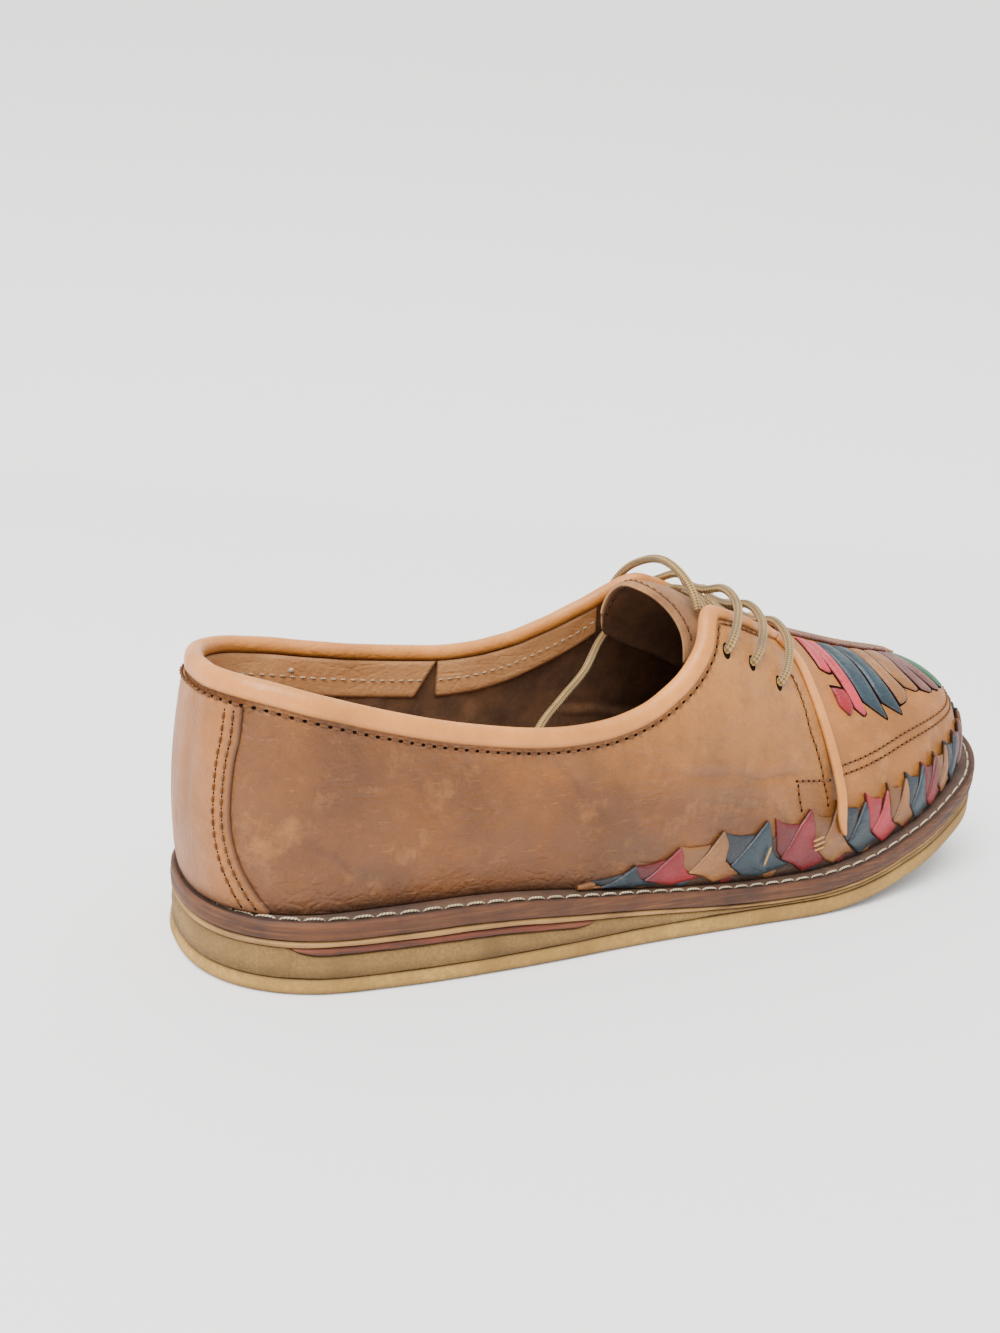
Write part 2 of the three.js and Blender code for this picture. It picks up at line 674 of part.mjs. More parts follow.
// Where the last passes over a place, seen from above, raised along its normal.
function aboveLast(x, reachOut, side, lift) {
  const u = stationAt(x);
  const t = solveFraction(side, u, (p) => SIGN[side] * -p.y, -reachOut);
  return offsetPoint(side, u, t, lift);
}

// A crossing of the lace, from one eyelet over the throat to the eyelet across from it.
function laceBar(eyelet) {
  const half = (side) => CROSSING.map(({ forward, inward, above }) => (
    aboveLast(eyelet.along + forward, eyelet[side] - inward * eyelet[side] / LACE_SPREAD, side, above)
  ));
  return cord([...half('lateral'), ...half('medial').reverse()], CROSSING_STEPS);
}

// ---------------------------------------------------------------- assembly

const pieces = new THREE.Group();

function add(name, geometry, colour, roughness) {
  const material = new THREE.MeshStandardMaterial({ color: colour, roughness, metalness: 0 });
  const mesh = new THREE.Mesh(geometry, material);
  mesh.name = name;
  pieces.add(mesh);
}

add('outsole', outsole(), 0xd8b878, 0.85);
add('wedge', wedge(), 0xa08552, 0.9);
add('shim', shim(), 0x8f4c36, 0.75);
add('runner', runner(), 0xc09a6b, 0.8);
add('midsole', midsole(), 0x8e5b44, 0.75);
add('insole', insole(), 0xa8734f, 0.8);
add('upper', upper(), 0xb9825a, 0.5);
add('tongue', tongue(), 0x9a6b4a, 0.9);
add('topline_binding', toplineBinding(), 0xe8b388, 0.45);
add('front_binding_lateral', frontBinding('lateral'), 0xe8b388, 0.45);
add('front_binding_medial', frontBinding('medial'), 0xe8b388, 0.45);
add('backstay', backstay(), 0xd2a27e, 0.5);
add('woven_band', band(), 0xa8323c, 0.5);
EYELETS.forEach((eyelet, i) => add(`lace_bar_${i + 1}`, laceBar(eyelet), 0xb59a6b, 0.9));

// The origin is under the middle of the shoe, on the floor, measured without the free laces.
const box = new THREE.Box3().setFromObject(pieces);
const centre = box.getCenter(new THREE.Vector3());
pieces.position.set(-centre.x, -centre.y, -box.min.z);
add('lace_loop', cord(LACE_LOOP.map(asPoint), 20), 0xb59a6b, 0.9);
add('lace_end', cord(LACE_END.map(asPoint), 30), 0xb59a6b, 0.9);

const shoe = new THREE.Group();
shoe.add(pieces);
export default shoe;
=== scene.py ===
"""A right lace-up huarache: leather upper with a woven vamp, on a low crepe wedge.

Shapes are set out in millimetres on the last, with +X from heel to toe, +Z up and -Y on the
outer (lateral) side, and are moved into the model's frame when each mesh is made.
"""

import math

import bmesh
import bpy
import numpy as np
from mathutils import Matrix, Vector

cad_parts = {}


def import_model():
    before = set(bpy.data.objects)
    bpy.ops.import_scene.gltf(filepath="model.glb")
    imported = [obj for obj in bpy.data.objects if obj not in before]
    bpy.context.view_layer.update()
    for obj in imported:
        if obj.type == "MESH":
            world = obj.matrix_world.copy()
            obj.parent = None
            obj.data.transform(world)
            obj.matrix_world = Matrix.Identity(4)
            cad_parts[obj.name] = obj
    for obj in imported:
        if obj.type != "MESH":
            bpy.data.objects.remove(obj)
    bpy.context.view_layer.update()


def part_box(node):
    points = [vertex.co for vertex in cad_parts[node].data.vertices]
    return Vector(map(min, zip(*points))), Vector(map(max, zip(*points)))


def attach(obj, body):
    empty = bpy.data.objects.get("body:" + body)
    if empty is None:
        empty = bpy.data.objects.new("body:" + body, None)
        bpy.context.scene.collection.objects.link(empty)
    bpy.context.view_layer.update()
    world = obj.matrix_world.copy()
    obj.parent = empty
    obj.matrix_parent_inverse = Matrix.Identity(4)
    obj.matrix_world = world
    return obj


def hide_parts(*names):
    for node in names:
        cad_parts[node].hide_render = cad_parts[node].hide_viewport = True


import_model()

rng = np.random.default_rng(7)

# ------------------------------------------------------------------ sizes of the last and sole

HEEL_END, TOE_END = -145.0, 149.0
HEEL_ROUND = {"radius": 38, "power": 2.35}
TOE_ROUND = {"radius": 62, "power": 2.2}
TOE_SPRING = {"start": 38, "lift": 29, "power": 1.75}
GAP = 0.3
WALL = 2.2
RIDGE_ENDS = {"heel": -104, "toe": 103, "blend": 14}
LATERAL, MEDIAL = -1, 1


def rows(names, *values):
    """A table with named columns."""
    return {name: np.array(column, float) for name, column in zip(names.split(), zip(*values))}


OUTLINE = rows(
    "along middle lateral medial",
    (-145, 2.5, 37.0, 37.0), (-116, 2.0, 39.2, 37.2), (-90, 1.0, 41.9, 36.5),
    (-58, 0.0, 43.4, 35.5), (-23, 0.0, 44.7, 35.5), (14, 0.0, 47.5, 40.5),
    (43, 0.0, 50.0, 47.5), (64, 0.0, 50.2, 51.5), (87, 0.0, 48.0, 51.5),
    (110, 0.0, 45.8, 49.3), (128, 0.0, 46.5, 48.0), (145, 0.0, 46.0, 47.0))
STACK = rows(
    "along outsole wedge layer ledge",
    (-145, 4.0, 12.2, 14.1, 19.0), (-110, 4.0, 12.7, 14.6, 19.5), (-72, 4.2, 12.8, 14.8, 19.7),
    (-30, 4.8, 9.5, 11.3, 16.1), (14, 5.3, 6.6, 7.9, 12.8), (60, 5.5, 7.2, 8.5, 13.6),
    (100, 5.8, 8.4, 9.9, 15.4), (145, 6.0, 9.2, 10.9, 16.5))
LAST = rows(
    "along inset bulge rise lateral medial ridge lean",
    (-145, 2.8, 6.0, 24, 1.03, 1.03, 125, 2), (-128, 4.2, 5.0, 24, 0.98, 0.98, 125, 2),
    (-100, 6.2, 4.0, 24, 0.78, 0.84, 124, 2), (-58, 7.0, 3.5, 24, 0.66, 0.84, 119, 2),
    (-20, 4.6, 2.0, 30, 0.78, 0.90, 111, 2), (5, 5.4, 1.5, 42, 0.86, 0.86, 102, 2),
    (50, 6.2, 2.0, 26, 0.58, 0.58, 84.5, 2), (75, 6.2, 3.0, 23, 0.57, 0.57, 79.0, 1),
    (98, 6.2, 3.0, 22, 0.62, 0.62, 75.5, 0), (125, 7.0, 3.0, 20, 0.76, 0.76, 73.0, 0),
    (145, 8.0, 2.5, 20, 0.86, 0.86, 70.0, 0))
COLLAR = rows(
    "along lateral medial",
    (-145, 73.5, 73.5), (-134, 73.0, 73.4), (-122, 70.5, 72.4), (-100, 65.2, 70.6),
    (-80, 61.5, 69.6), (-58, 59.2, 69.6), (-40, 60.2, 72.4), (-25, 64.6, 77.5),
    (-12, 72.5, 83.5), (-3, 81.5, 89.5), (4, 92.0, 96.0), (12, 105.0, 105.0))
FACING = rows(
    "along lateral medial",
    (-20, 27, 21), (2, 24, 17.5), (25, 19, 14), (46, 14.5, 11.5))
THROAT_FRONT = 46.0
CORNER_ROUND = 0.05
CLIMB_FROM = -34.0
BAND = rows(
    "along height",
    (-46, 2.0), (-26, 7.0), (-9, 13.0), (12, 17.0), (34, 19.0), (85, 18.5), (120, 17.5),
    (149, 16.0))
SHIM = {"from": -125, "to": -43, "thickness": 2.1, "taper": 5}
# Points along each side of the outsole's solid, which set how far its box reaches.
OUTSOLE_STATIONS = 43

# ------------------------------------------------------------------ curves from the tables


def column(table, name):
    """A smooth function through one column of a table, flat beyond its ends."""
    xs, ys = table["along"], table[name]
    slopes = np.zeros(len(xs))
    slopes[1:-1] = (ys[2:] - ys[:-2]) / (xs[2:] - xs[:-2])

    def at(x):
        x = np.clip(x, xs[0], xs[-1])
        i = np.clip(np.searchsorted(xs, x, side="right") - 1, 0, len(xs) - 2)
        span = xs[i + 1] - xs[i]
        t = (x - xs[i]) / span
        ease = t * t * (3 - 2 * t)
        bend = span * t * (1 - t) * ((1 - t) * slopes[i] - t * slopes[i + 1])
        return ys[i] + (ys[i + 1] - ys[i]) * ease + bend

    return at


middle = column(OUTLINE, "middle")
reach = {LATERAL: column(OUTLINE, "lateral"), MEDIAL: column(OUTLINE, "medial")}
stack = {name: column(STACK, name) for name in ("outsole", "wedge", "layer", "ledge")}
last = {name: column(LAST, name) for name in LAST if name != "along"}
collar = {LATERAL: column(COLLAR, "lateral"), MEDIAL: column(COLLAR, "medial")}
facing = {LATERAL: column(FACING, "lateral"), MEDIAL: column(FACING, "medial")}
shoulders = {LATERAL: last["lateral"], MEDIAL: last["medial"]}
band_height = column(BAND, "height")


def by_side(pair, sign, x):
    return np.where(sign < 0, pair[LATERAL](x), pair[MEDIAL](x))


def underside(x):
    run = np.maximum(0, x - TOE_SPRING["start"]) / (TOE_END - TOE_SPRING["start"])
    return TOE_SPRING["lift"] * run ** TOE_SPRING["power"]


def height(name, x):
    return underside(x) + stack[name](x)


def smooth(x, low=0.0, high=1.0):
    """0 below low, 1 above high, and a soft step between."""
    t = np.clip((x - low) / (high - low), 0, 1)
    return t * t * (3 - 2 * t)


def round_ends(x, inset):
    heel = x < 0
    radius = np.where(heel, HEEL_ROUND["radius"], TOE_ROUND["radius"])
    power = np.where(heel, HEEL_ROUND["power"], TOE_ROUND["power"])
    heel_far = HEEL_END + HEEL_ROUND["radius"] - x
    toe_far = x - (TOE_END - TOE_ROUND["radius"])
    k = np.clip(np.where(heel, heel_far, toe_far) / (radius - inset), 0, 1)
    return (1 - k ** power) ** (1 / power)


def outline(sign, u, inset):
    """The sole's outline moved in by an inset, at fraction u from heel to toe."""
    low = HEEL_END + inset(HEEL_END)
    high = TOE_END - inset(TOE_END)
    x = low + (high - low) * (1 - np.cos(np.pi * u)) / 2
    end_inset = np.where(x < 0, inset(HEEL_END), inset(TOE_END))
    half = (by_side(reach, sign, x) - inset(x)) * round_ends(x, end_inset)
    return x, middle(x) + sign * half


def even(inset):
    """An inset that is the same all along the sole."""
    return lambda x: inset + 0.0 * x


def station_at(x):
    """The fraction u whose foot lies at a place along the last."""
    low = HEEL_END + last["inset"](HEEL_END)
    high = TOE_END - last["inset"](TOE_END)
    return np.arccos(np.clip(1 - 2 * (x - low) / (high - low), -1, 1)) / np.pi


def foot_x(u):
    return outline(LATERAL, u, last["inset"])[0]


def soft_clamp(x):
    def soft(d):
        return (np.sqrt(d * d + RIDGE_ENDS["blend"] ** 2) + d) / 2
    return x + soft(RIDGE_ENDS["heel"] - x) - soft(x - RIDGE_ENDS["toe"])


# ------------------------------------------------------------------ the last's surface


def last_point(sign, u, t):
    """A point of the upper's outer face, at fraction t from the ledge (0) to the ridge (1)."""
    sign, u, t = np.broadcast_arrays(np.asarray(sign), np.asarray(u, float), np.asarray(t, float))
    x, y = outline(sign, u, last["inset"])
    ridge_x = soft_clamp(x)
    ridge = np.stack([ridge_x, last["lean"](ridge_x), last["ridge"](ridge_x)], -1)
    start = np.stack([x, y, height("ledge", x) + GAP], -1)
    out = np.stack([x - ridge[..., 0], y - ridge[..., 1], np.zeros_like(x)], -1)
    outward = out / np.maximum(np.linalg.norm(out, axis=-1, keepdims=True), 1e-9)
    handle = start + outward * last["bulge"](x)[..., None]
    handle[..., 2] += last["rise"](x)
    shoulder = ridge + out * by_side(shoulders, sign, x)[..., None]
    slope = (last["ridge"](ridge_x + 1) - last["ridge"](ridge_x - 1)) / 2
    shoulder[..., 2] += slope * (shoulder[..., 0] - ridge[..., 0])
    t = t[..., None]
    return ((1 - t) ** 3 * start + 3 * (1 - t) ** 2 * t * handle
            + 3 * (1 - t) * t ** 2 * shoulder + t ** 3 * ridge)


def unit(v):
    return v / np.maximum(np.linalg.norm(v, axis=-1, keepdims=True), 1e-12)


def last_normal(sign, u, t):
    sign, u, t = np.broadcast_arrays(np.asarray(sign), np.asarray(u, float), np.asarray(t, float))
    along = last_point(sign, np.minimum(1, u + 0.004), t) - last_point(sign, np.maximum(0, u - 0.004), t)
    upward = last_point(sign, u, np.minimum(1, t + 0.01)) - last_point(sign, u, np.maximum(0, t - 0.01))
    normal = unit(np.cross(along, upward)) * np.where(sign < 0, 1, -1)[..., None]
    zero = np.zeros_like(u)
    on_ridge = unit(np.stack([-along[..., 2], zero, along[..., 0]], -1))
    outward = np.where(u < 0.5, -1.0, 1.0)
    at_tip = unit(np.stack([outward * upward[..., 2], zero, -outward * upward[..., 0]], -1))
    normal = np.where((t > 1 - 1e-6)[..., None], on_ridge, normal)
    tip = ((u < 1e-6) | (u > 1 - 1e-6)) & (t <= 1 - 1e-6)
    return np.where(tip[..., None], at_tip, normal)


def on_last(sign, u, t, lift=0.0):
    lift = np.asarray(lift, float)
    return last_point(sign, u, t) + last_normal(sign, u, t) * lift[..., None]


def solve(sign, u, measure, target):
    """The fraction t where a measure of the surface point reaches a target."""
    sign, u, target = np.broadcast_arrays(np.asarray(sign), np.asarray(u, float), target)
    low, high = np.zeros(u.shape), np.ones(u.shape)
    for _ in range(26):
        t = (low + high) / 2
        below = measure(last_point(sign, u, t)) < target
        low = np.where(below, t, low)
        high = np.where(below, high, t)
    return (low + high) / 2


def at_height(sign, u, z):
    return solve(sign, u, lambda p: p[..., 2], z)


def at_reach(sign, u, y):
    """y is the distance from the middle, to either side."""
    side = np.broadcast_to(np.asarray(sign), np.shape(u))
    return solve(sign, u, lambda p: -side * p[..., 1], -np.asarray(y, float))


def above_ledge(sign, u, rise):
    return at_height(sign, u, last_point(sign, u, 0.0)[..., 2] + rise)


def rounded_min(a, b, width):
    k = np.maximum(0, width - np.abs(a - b)) / width
    return np.minimum(a, b) - width * k * k / 4


def top_edge(sign, u):
    """Fraction t of the upper's top edge: the collar, then the facing, then the ridge."""
    sign, u = np.broadcast_arrays(np.asarray(sign), np.asarray(u, float))
    x = foot_x(u)
    by_height = at_height(sign, u, by_side(collar, sign, x))
    by_reach = at_reach(sign, u, by_side(facing, sign, x))
    edge = np.where(x < CLIMB_FROM, by_height, rounded_min(by_height, by_reach, CORNER_ROUND))
    return np.where(x > THROAT_FRONT + 0.5, 1.0, edge)


def side_shift():
    """Moves the last into the model's frame: the outsole's box says where its outline lies."""
    u = np.linspace(0, 1, OUTSOLE_STATIONS)
    low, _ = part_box("outsole")
    edge = outline(LATERAL, u, even(0.0))[1].min()
    return np.array([low.x * 1000 - HEEL_END, low.y * 1000 - edge, low.z * 1000])


SHIFT = side_shift()


def world(points):
    """From millimetres on the last to metres in the model's frame."""
    return (np.asarray(points, float) + SHIFT) / 1000


# ------------------------------------------------------------------ meshes

# Points of a mesh that lie nearer than this, in metres, are one point.
WELD = 1e-6


class Piece:
    """Gathers closed parts, each with its own skin, into one mesh."""

    def __init__(self, name):
        self.name = name
        self.points, self.place, self.shade = [], [], []
        self.faces, self.skins = [], []
        self.count = 0

    def add(self, points, faces, skin=0, place=None, shade=0.0):
        points = np.asarray(points, float).reshape(-1, 3)
        place = np.zeros_like(points) if place is None else np.asarray(place, float).reshape(-1, 3)
        self.points.append(points)
        self.place.append(place)
        self.shade.append(np.broadcast_to(np.asarray(shade, float).reshape(-1), len(points)))
        skins = np.broadcast_to(np.asarray(skin), len(faces))
        for face in faces:
            self.faces.append([int(i) + self.count for i in face])
        self.skins.extend(int(s) for s in skins)
        self.count += len(points)

    def build(self, materials, slot, replaces=()):
        """Makes the mesh with its attributes, tidies it and gives it to the frame."""
        mesh = bpy.data.meshes.new(self.name)
        mesh.from_pydata(world(np.concatenate(self.points)).tolist(), [], self.faces)
        for material in materials:
            mesh.materials.append(material)
        mesh.polygons.foreach_set("material_index", self.skins)
        mesh.polygons.foreach_set("use_smooth", [True] * len(mesh.polygons))
        place = mesh.attributes.new("place", "FLOAT_VECTOR", "POINT")
        place.data.foreach_set("vector", (np.concatenate(self.place) / 1000).ravel())
        shade = mesh.attributes.new("shade", "FLOAT", "POINT")
        shade.data.foreach_set("value", np.concatenate(self.shade))
        tidy = bmesh.new()
        tidy.from_mesh(mesh)
        bmesh.ops.remove_doubles(tidy, verts=tidy.verts, dist=WELD)
        bmesh.ops.dissolve_degenerate(tidy, edges=tidy.edges, dist=WELD / 10)
        bmesh.ops.recalc_face_normals(tidy, faces=tidy.faces)
        tidy.to_mesh(mesh)
        tidy.free()
        piece = bpy.data.objects.new(self.name, mesh)
        bpy.context.scene.collection.objects.link(piece)
        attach(piece, "root")
        if replaces:
            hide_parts(*replaces)
        return piece


def grid_faces(n, m, start=0, wrap=False):
    """Quads over a grid of n by m points, closed round its second way if asked."""
    i = np.arange(n - 1)[:, None]
    j = np.arange(m if wrap else m - 1)[None, :]
    k = (j + 1) % m
    quads = np.stack([i * m + j, i * m + k, (i + 1) * m + k, (i + 1) * m + j], -1)
    return (quads.reshape(-1, 4) + start).tolist()


def swept(sections):
    """Points and faces of closed sections (n, k, 3) joined one to the next and capped."""
    n, k = sections.shape[:2]
    faces = grid_faces(n, k, wrap=True)
    faces.append(list(range(k))[::-1])
    faces.append([(n - 1) * k + i for i in range(k)])
    return sections.reshape(-1, 3), faces


def sheet_solid(outer, inner):
    """A sheet with thickness between two grids (n, m, 3). Gives points, faces and which face
    belongs to the outer side (0), the inner side (1) or the rim (2)."""
    n, m = outer.shape[:2]
    front = grid_faces(n, m)
    back = [face[::-1] for face in grid_faces(n, m, start=n * m)]
    rim = []
    for i in range(n - 1):
        rim.append([i * m, (i + 1) * m, (n + i + 1) * m, (n + i) * m])
        a, b = i * m + m - 1, (i + 1) * m + m - 1
        rim.append([b, a, a + n * m, b + n * m])
    for j in range(m - 1):
        rim.append([j + 1, j, j + n * m, j + 1 + n * m])
        a, b = (n - 1) * m + j, (n - 1) * m + j + 1
        rim.append([a, b, b + n * m, a + n * m])
    points = np.concatenate([outer.reshape(-1, 3), inner.reshape(-1, 3)])
    parts = [0] * len(front) + [1] * len(back) + [2] * len(rim)
    return points, front + back + rim, parts


def arc_lengths(path):
    steps = np.linalg.norm(np.diff(path, axis=0), axis=1)
    return np.concatenate([[0], np.cumsum(steps)])


def resample(path, count, *others):
    """Even points along a path, with other values carried along."""
    s = arc_lengths(path)
    at = np.linspace(0, s[-1], count)
    values = [path, *others]
    made = []
    for value in values:
        value = np.asarray(value, float)
        flat = value.reshape(len(s), -1)
        new = np.stack([np.interp(at, s, flat[:, k]) for k in range(flat.shape[1])], -1)
        made.append(new.reshape((count,) + value.shape[1:]))
    return made if others else made[0]


def smooth_path(points, spacing=0.8):
    """A smooth curve through given points, with even spacing."""
    p = np.asarray(points, float)
    p = np.concatenate([[2 * p[0] - p[1]], p, [2 * p[-1] - p[-2]]])
    knots = np.concatenate([[0], np.cumsum(np.sqrt(np.linalg.norm(np.diff(p, axis=0), axis=1)))])
    made = []
    for i in range(1, len(p) - 2):
        t0, t1, t2, t3 = knots[i - 1:i + 3]
        t = np.linspace(t1, t2, 16, endpoint=False)[:, None]
        a1 = (t1 - t) / (t1 - t0) * p[i - 1] + (t - t0) / (t1 - t0) * p[i]
        a2 = (t2 - t) / (t2 - t1) * p[i] + (t - t1) / (t2 - t1) * p[i + 1]
        a3 = (t3 - t) / (t3 - t2) * p[i + 1] + (t - t2) / (t3 - t2) * p[i + 2]
        b1 = (t2 - t) / (t2 - t0) * a1 + (t - t0) / (t2 - t0) * a2
        b2 = (t3 - t) / (t3 - t1) * a2 + (t - t1) / (t3 - t1) * a3
        made.append((t2 - t) / (t2 - t1) * b1 + (t - t1) / (t2 - t1) * b2)
    made.append(p[-2:-1])
    path = np.concatenate(made)
    return resample(path, max(4, int(arc_lengths(path)[-1] / spacing) + 1))


def tangents(path):
    return unit(np.gradient(path, axis=0))


def carried_frame(path):
    """Two directions across a path that turn as little as they can along it."""
    along = tangents(path)
    start = np.cross(along[0], [0, 0, 1.0])
    across = [unit(start if np.linalg.norm(start) > 1e-3 else np.array([1.0, 0, 0]))]
    for direction in along[1:]:
        v = across[-1] - direction * np.dot(across[-1], direction)
        across.append(unit(v))
    across = np.array(across)
    return across, np.cross(along, across)


def cord_part(path, radius, sides=12, taper=0):
    """Points, faces and places of a round cord along a path."""
    across, over = carried_frame(path)
    angle = np.linspace(0, 2 * np.pi, sides, endpoint=False)
    s = arc_lengths(path)
    r = np.full(len(path), float(radius))
    if taper:
        r *= np.minimum(1, np.sqrt(np.minimum(s, s[-1] - s) / taper + 0.05))
    ring = across[:, None] * np.cos(angle)[:, None] + over[:, None] * np.sin(angle)[:, None]
    sections = path[:, None] + ring * r[:, None, None]
    points, faces = swept(sections)
    place = np.zeros((len(path), sides, 3))
    place[..., 0] = s[:, None]
    place[..., 1] = angle[None, :] * radius
    return points, faces, place


def strip_part(centre, normal, width, thickness, crown, edge=0.35, across_steps=6, lift=0.0):
    """A leather strip along a path: a crowned top, rounded edges and a flat underside. Gives
    its points, faces and places, and how near each point is to an edge."""
    along = tangents(centre)
    side = unit(np.cross(normal, along))
    width, lift = (np.broadcast_to(value, len(centre)) for value in (width, lift))
    a = np.linspace(-1, 1, across_steps + 1)
    top = 1 - edge * np.abs(a) ** 4 + crown * (1 - a * a)
    ring_across = np.concatenate([a, a[::-1]])
    ring_up = np.concatenate([top, np.zeros(len(a))])
    up = lift[:, None] + thickness * ring_up
    aside = ring_across * width[:, None] / 2
    sections = centre[:, None] + side[:, None] * aside[..., None] + normal[:, None] * up[..., None]
    points, faces = swept(sections)
    place = np.zeros(sections.shape)
    place[..., 0] = arc_lengths(centre)[:, None]
    place[..., 1] = aside
    to_edge = np.abs(np.broadcast_to(ring_across, sections.shape[:2]))
    return points, faces, place, to_edge.ravel()


THREAD_STEPS, THREAD_SIDES = 7, 6
HOLE_SIDES = 8


def add_stitches(stitches, holes, path, normal, pitch, length, radius, hole=(0.62, 0.42), lift=0.0):
    """A row of stitches: a short bowed thread between each pair of needle holes. The holes may
    be left out."""
    s = arc_lengths(path)
    count = max(1, int(round(s[-1] / pitch)))
    pitch = s[-1] / count

    def along_path(at):
        place, up = (np.stack([np.interp(at, s, line[:, k]) for k in range(3)], -1)
                     for line in (path, normal))
        return place, unit(up)

    bow = np.linspace(-1, 1, THREAD_STEPS)
    angle = np.linspace(0, 2 * np.pi, THREAD_SIDES, endpoint=False)
    for k in range(count):
        at = (k + 0.5) * pitch + bow * length / 2
        centre, up = along_path(np.clip(at, 0, s[-1]))
        rise = radius * (1 - 1.5 * bow ** 4) + lift
        centre = centre + up * rise[:, None]
        side = unit(np.cross(up, tangents(centre)))
        r = radius * (1 - 0.45 * bow ** 4)
        ring = side[:, None] * np.cos(angle)[:, None] + up[:, None] * np.sin(angle)[:, None]
        points, faces = swept(centre[:, None] + ring * r[:, None, None])
        place = np.zeros((THREAD_STEPS, THREAD_SIDES, 3))
        place[..., 0] = at[:, None]
        place[..., 1] = (angle * radius)[None]
        stitches.add(points, faces, place=place)
    if holes is not None:
        for k in range(count + 1):
            add_needle_hole(holes, along_path, min(k * pitch, s[-1]), hole, lift)


def add_needle_hole(holes, along_path, at, size, lift):
    """A small near-black dimple, painted shade for the inside of the hole, longer along the seam than
    across it.
    """
    centre, up = (v[0] for v in along_path(np.array([at])))
    ahead, _ = along_path(np.array([at + 0.1]))
    behind, _ = along_path(np.array([at - 0.1]))
    direction = unit(ahead - behind)[0]
    side = unit(np.cross(up, direction))
    turn = np.linspace(0, 2 * np.pi, HOLE_SIDES, endpoint=False)
    rim = (centre + np.outer(np.cos(turn), direction) * size[0]
           + np.outer(np.sin(turn), side) * size[1] + up * (lift - 0.05))
    points = np.concatenate([rim, [centre + up * (lift + 0.12)], [centre - up * 0.3]])
    top, bottom = HOLE_SIDES, HOLE_SIDES + 1
    faces = [[i, (i + 1) % HOLE_SIDES, top] for i in range(HOLE_SIDES)]
    faces += [[(i + 1) % HOLE_SIDES, i, bottom] for i in range(HOLE_SIDES)]
    holes.add(points, faces)


# ------------------------------------------------------------------ materials


def linear(code):
    """An sRGB hex colour as linear red, green, blue and alpha."""
    parts = [int(code[i:i + 2], 16) / 255 for i in (1, 3, 5)]
    return tuple(c / 12.92 if c <= 0.04045 else ((c + 0.055) / 1.055) ** 2.4 for c in parts) + (1.0,)


def per_mm(size):
    """A texture scale for features of a size in millimetres."""
    return 1000.0 / size


def node(tree, kind, inputs=None, **settings):
    """Adds a shader node with its settings and gives its outputs. An input that is a socket is
    linked, and the others are set."""
    made = tree.nodes.new("ShaderNode" + kind)
    for key, value in settings.items():
        setattr(made, key, value)
    for key, value in (inputs or {}).items():
        if isinstance(value, bpy.types.NodeSocket):
            tree.links.new(value, made.inputs[key])
        else:
            made.inputs[key].default_value = linear(value) if isinstance(value, str) else value
    return made.outputs


def new_material(name):
    """An empty material, its node tree and the place of each point in the model's frame."""
    material = bpy.data.materials.new(name)
    material.use_nodes = True
    tree = material.node_tree
    tree.nodes.clear()
    return material, tree, node(tree, "TexCoord")["Object"]


def faded(tree, tone, colour, value, low, high, at_low=0.0, at_high=1.0):
    """A tone with another colour laid over it, more or less strongly as a value goes from low
    to high."""
    strength = node(tree, "MapRange", {"Value": value, "From Min": low, "From Max": high,
                                       "To Min": at_low, "To Max": at_high})[0]
    return node(tree, "Mix", {0: strength, 6: tone, 7: colour}, data_type="RGBA")[2]


def stained(tree, tone, where, *stains):
    """Patches of other colours over a tone. A stain is a colour, the size of its patches in
    millimetres, their detail and roughness, where in the pattern they begin and are full, and
    how strong they get."""
    for colour, size, detail, rough, begin, full, strength in stains:
        patches = node(tree, "TexNoise", {"Vector": where, "Scale": per_mm(size),
                                          "Detail": detail, "Roughness": rough})[0]
        tone = faded(tree, tone, colour, patches, begin, full, 0.0, strength)
    return tone


def shaded_and_dirtied(tree, tone, shade_and_dirt, strength=0.9):
    """Painted shade along seams, folds, gaps and the foot, and some grime, by the shade each mesh keeps.
    """
    shade = node(tree, "Attribute", attribute_name="shade")["Fac"]
    return faded(tree, tone, shade_and_dirt, shade, 0.0, 1.0, 0.0, strength)


def finished(material, tree, tone, rough, relief=None, depth=0.0, ior=1.5, sheen=0.0):
    """Closes a material with its relief, raised by a depth in millimetres."""
    inputs = {"Base Color": tone, "Roughness": rough, "IOR": ior, "Sheen Weight": sheen}
    if relief is not None:
        inputs["Normal"] = node(tree, "Bump", {"Height": relief, "Distance": depth / 1000,
                                               "Strength": 1.0})[0]
    shader = node(tree, "BsdfPrincipled", inputs)[0]
    node(tree, "OutputMaterial", {"Surface": shader})
    return material


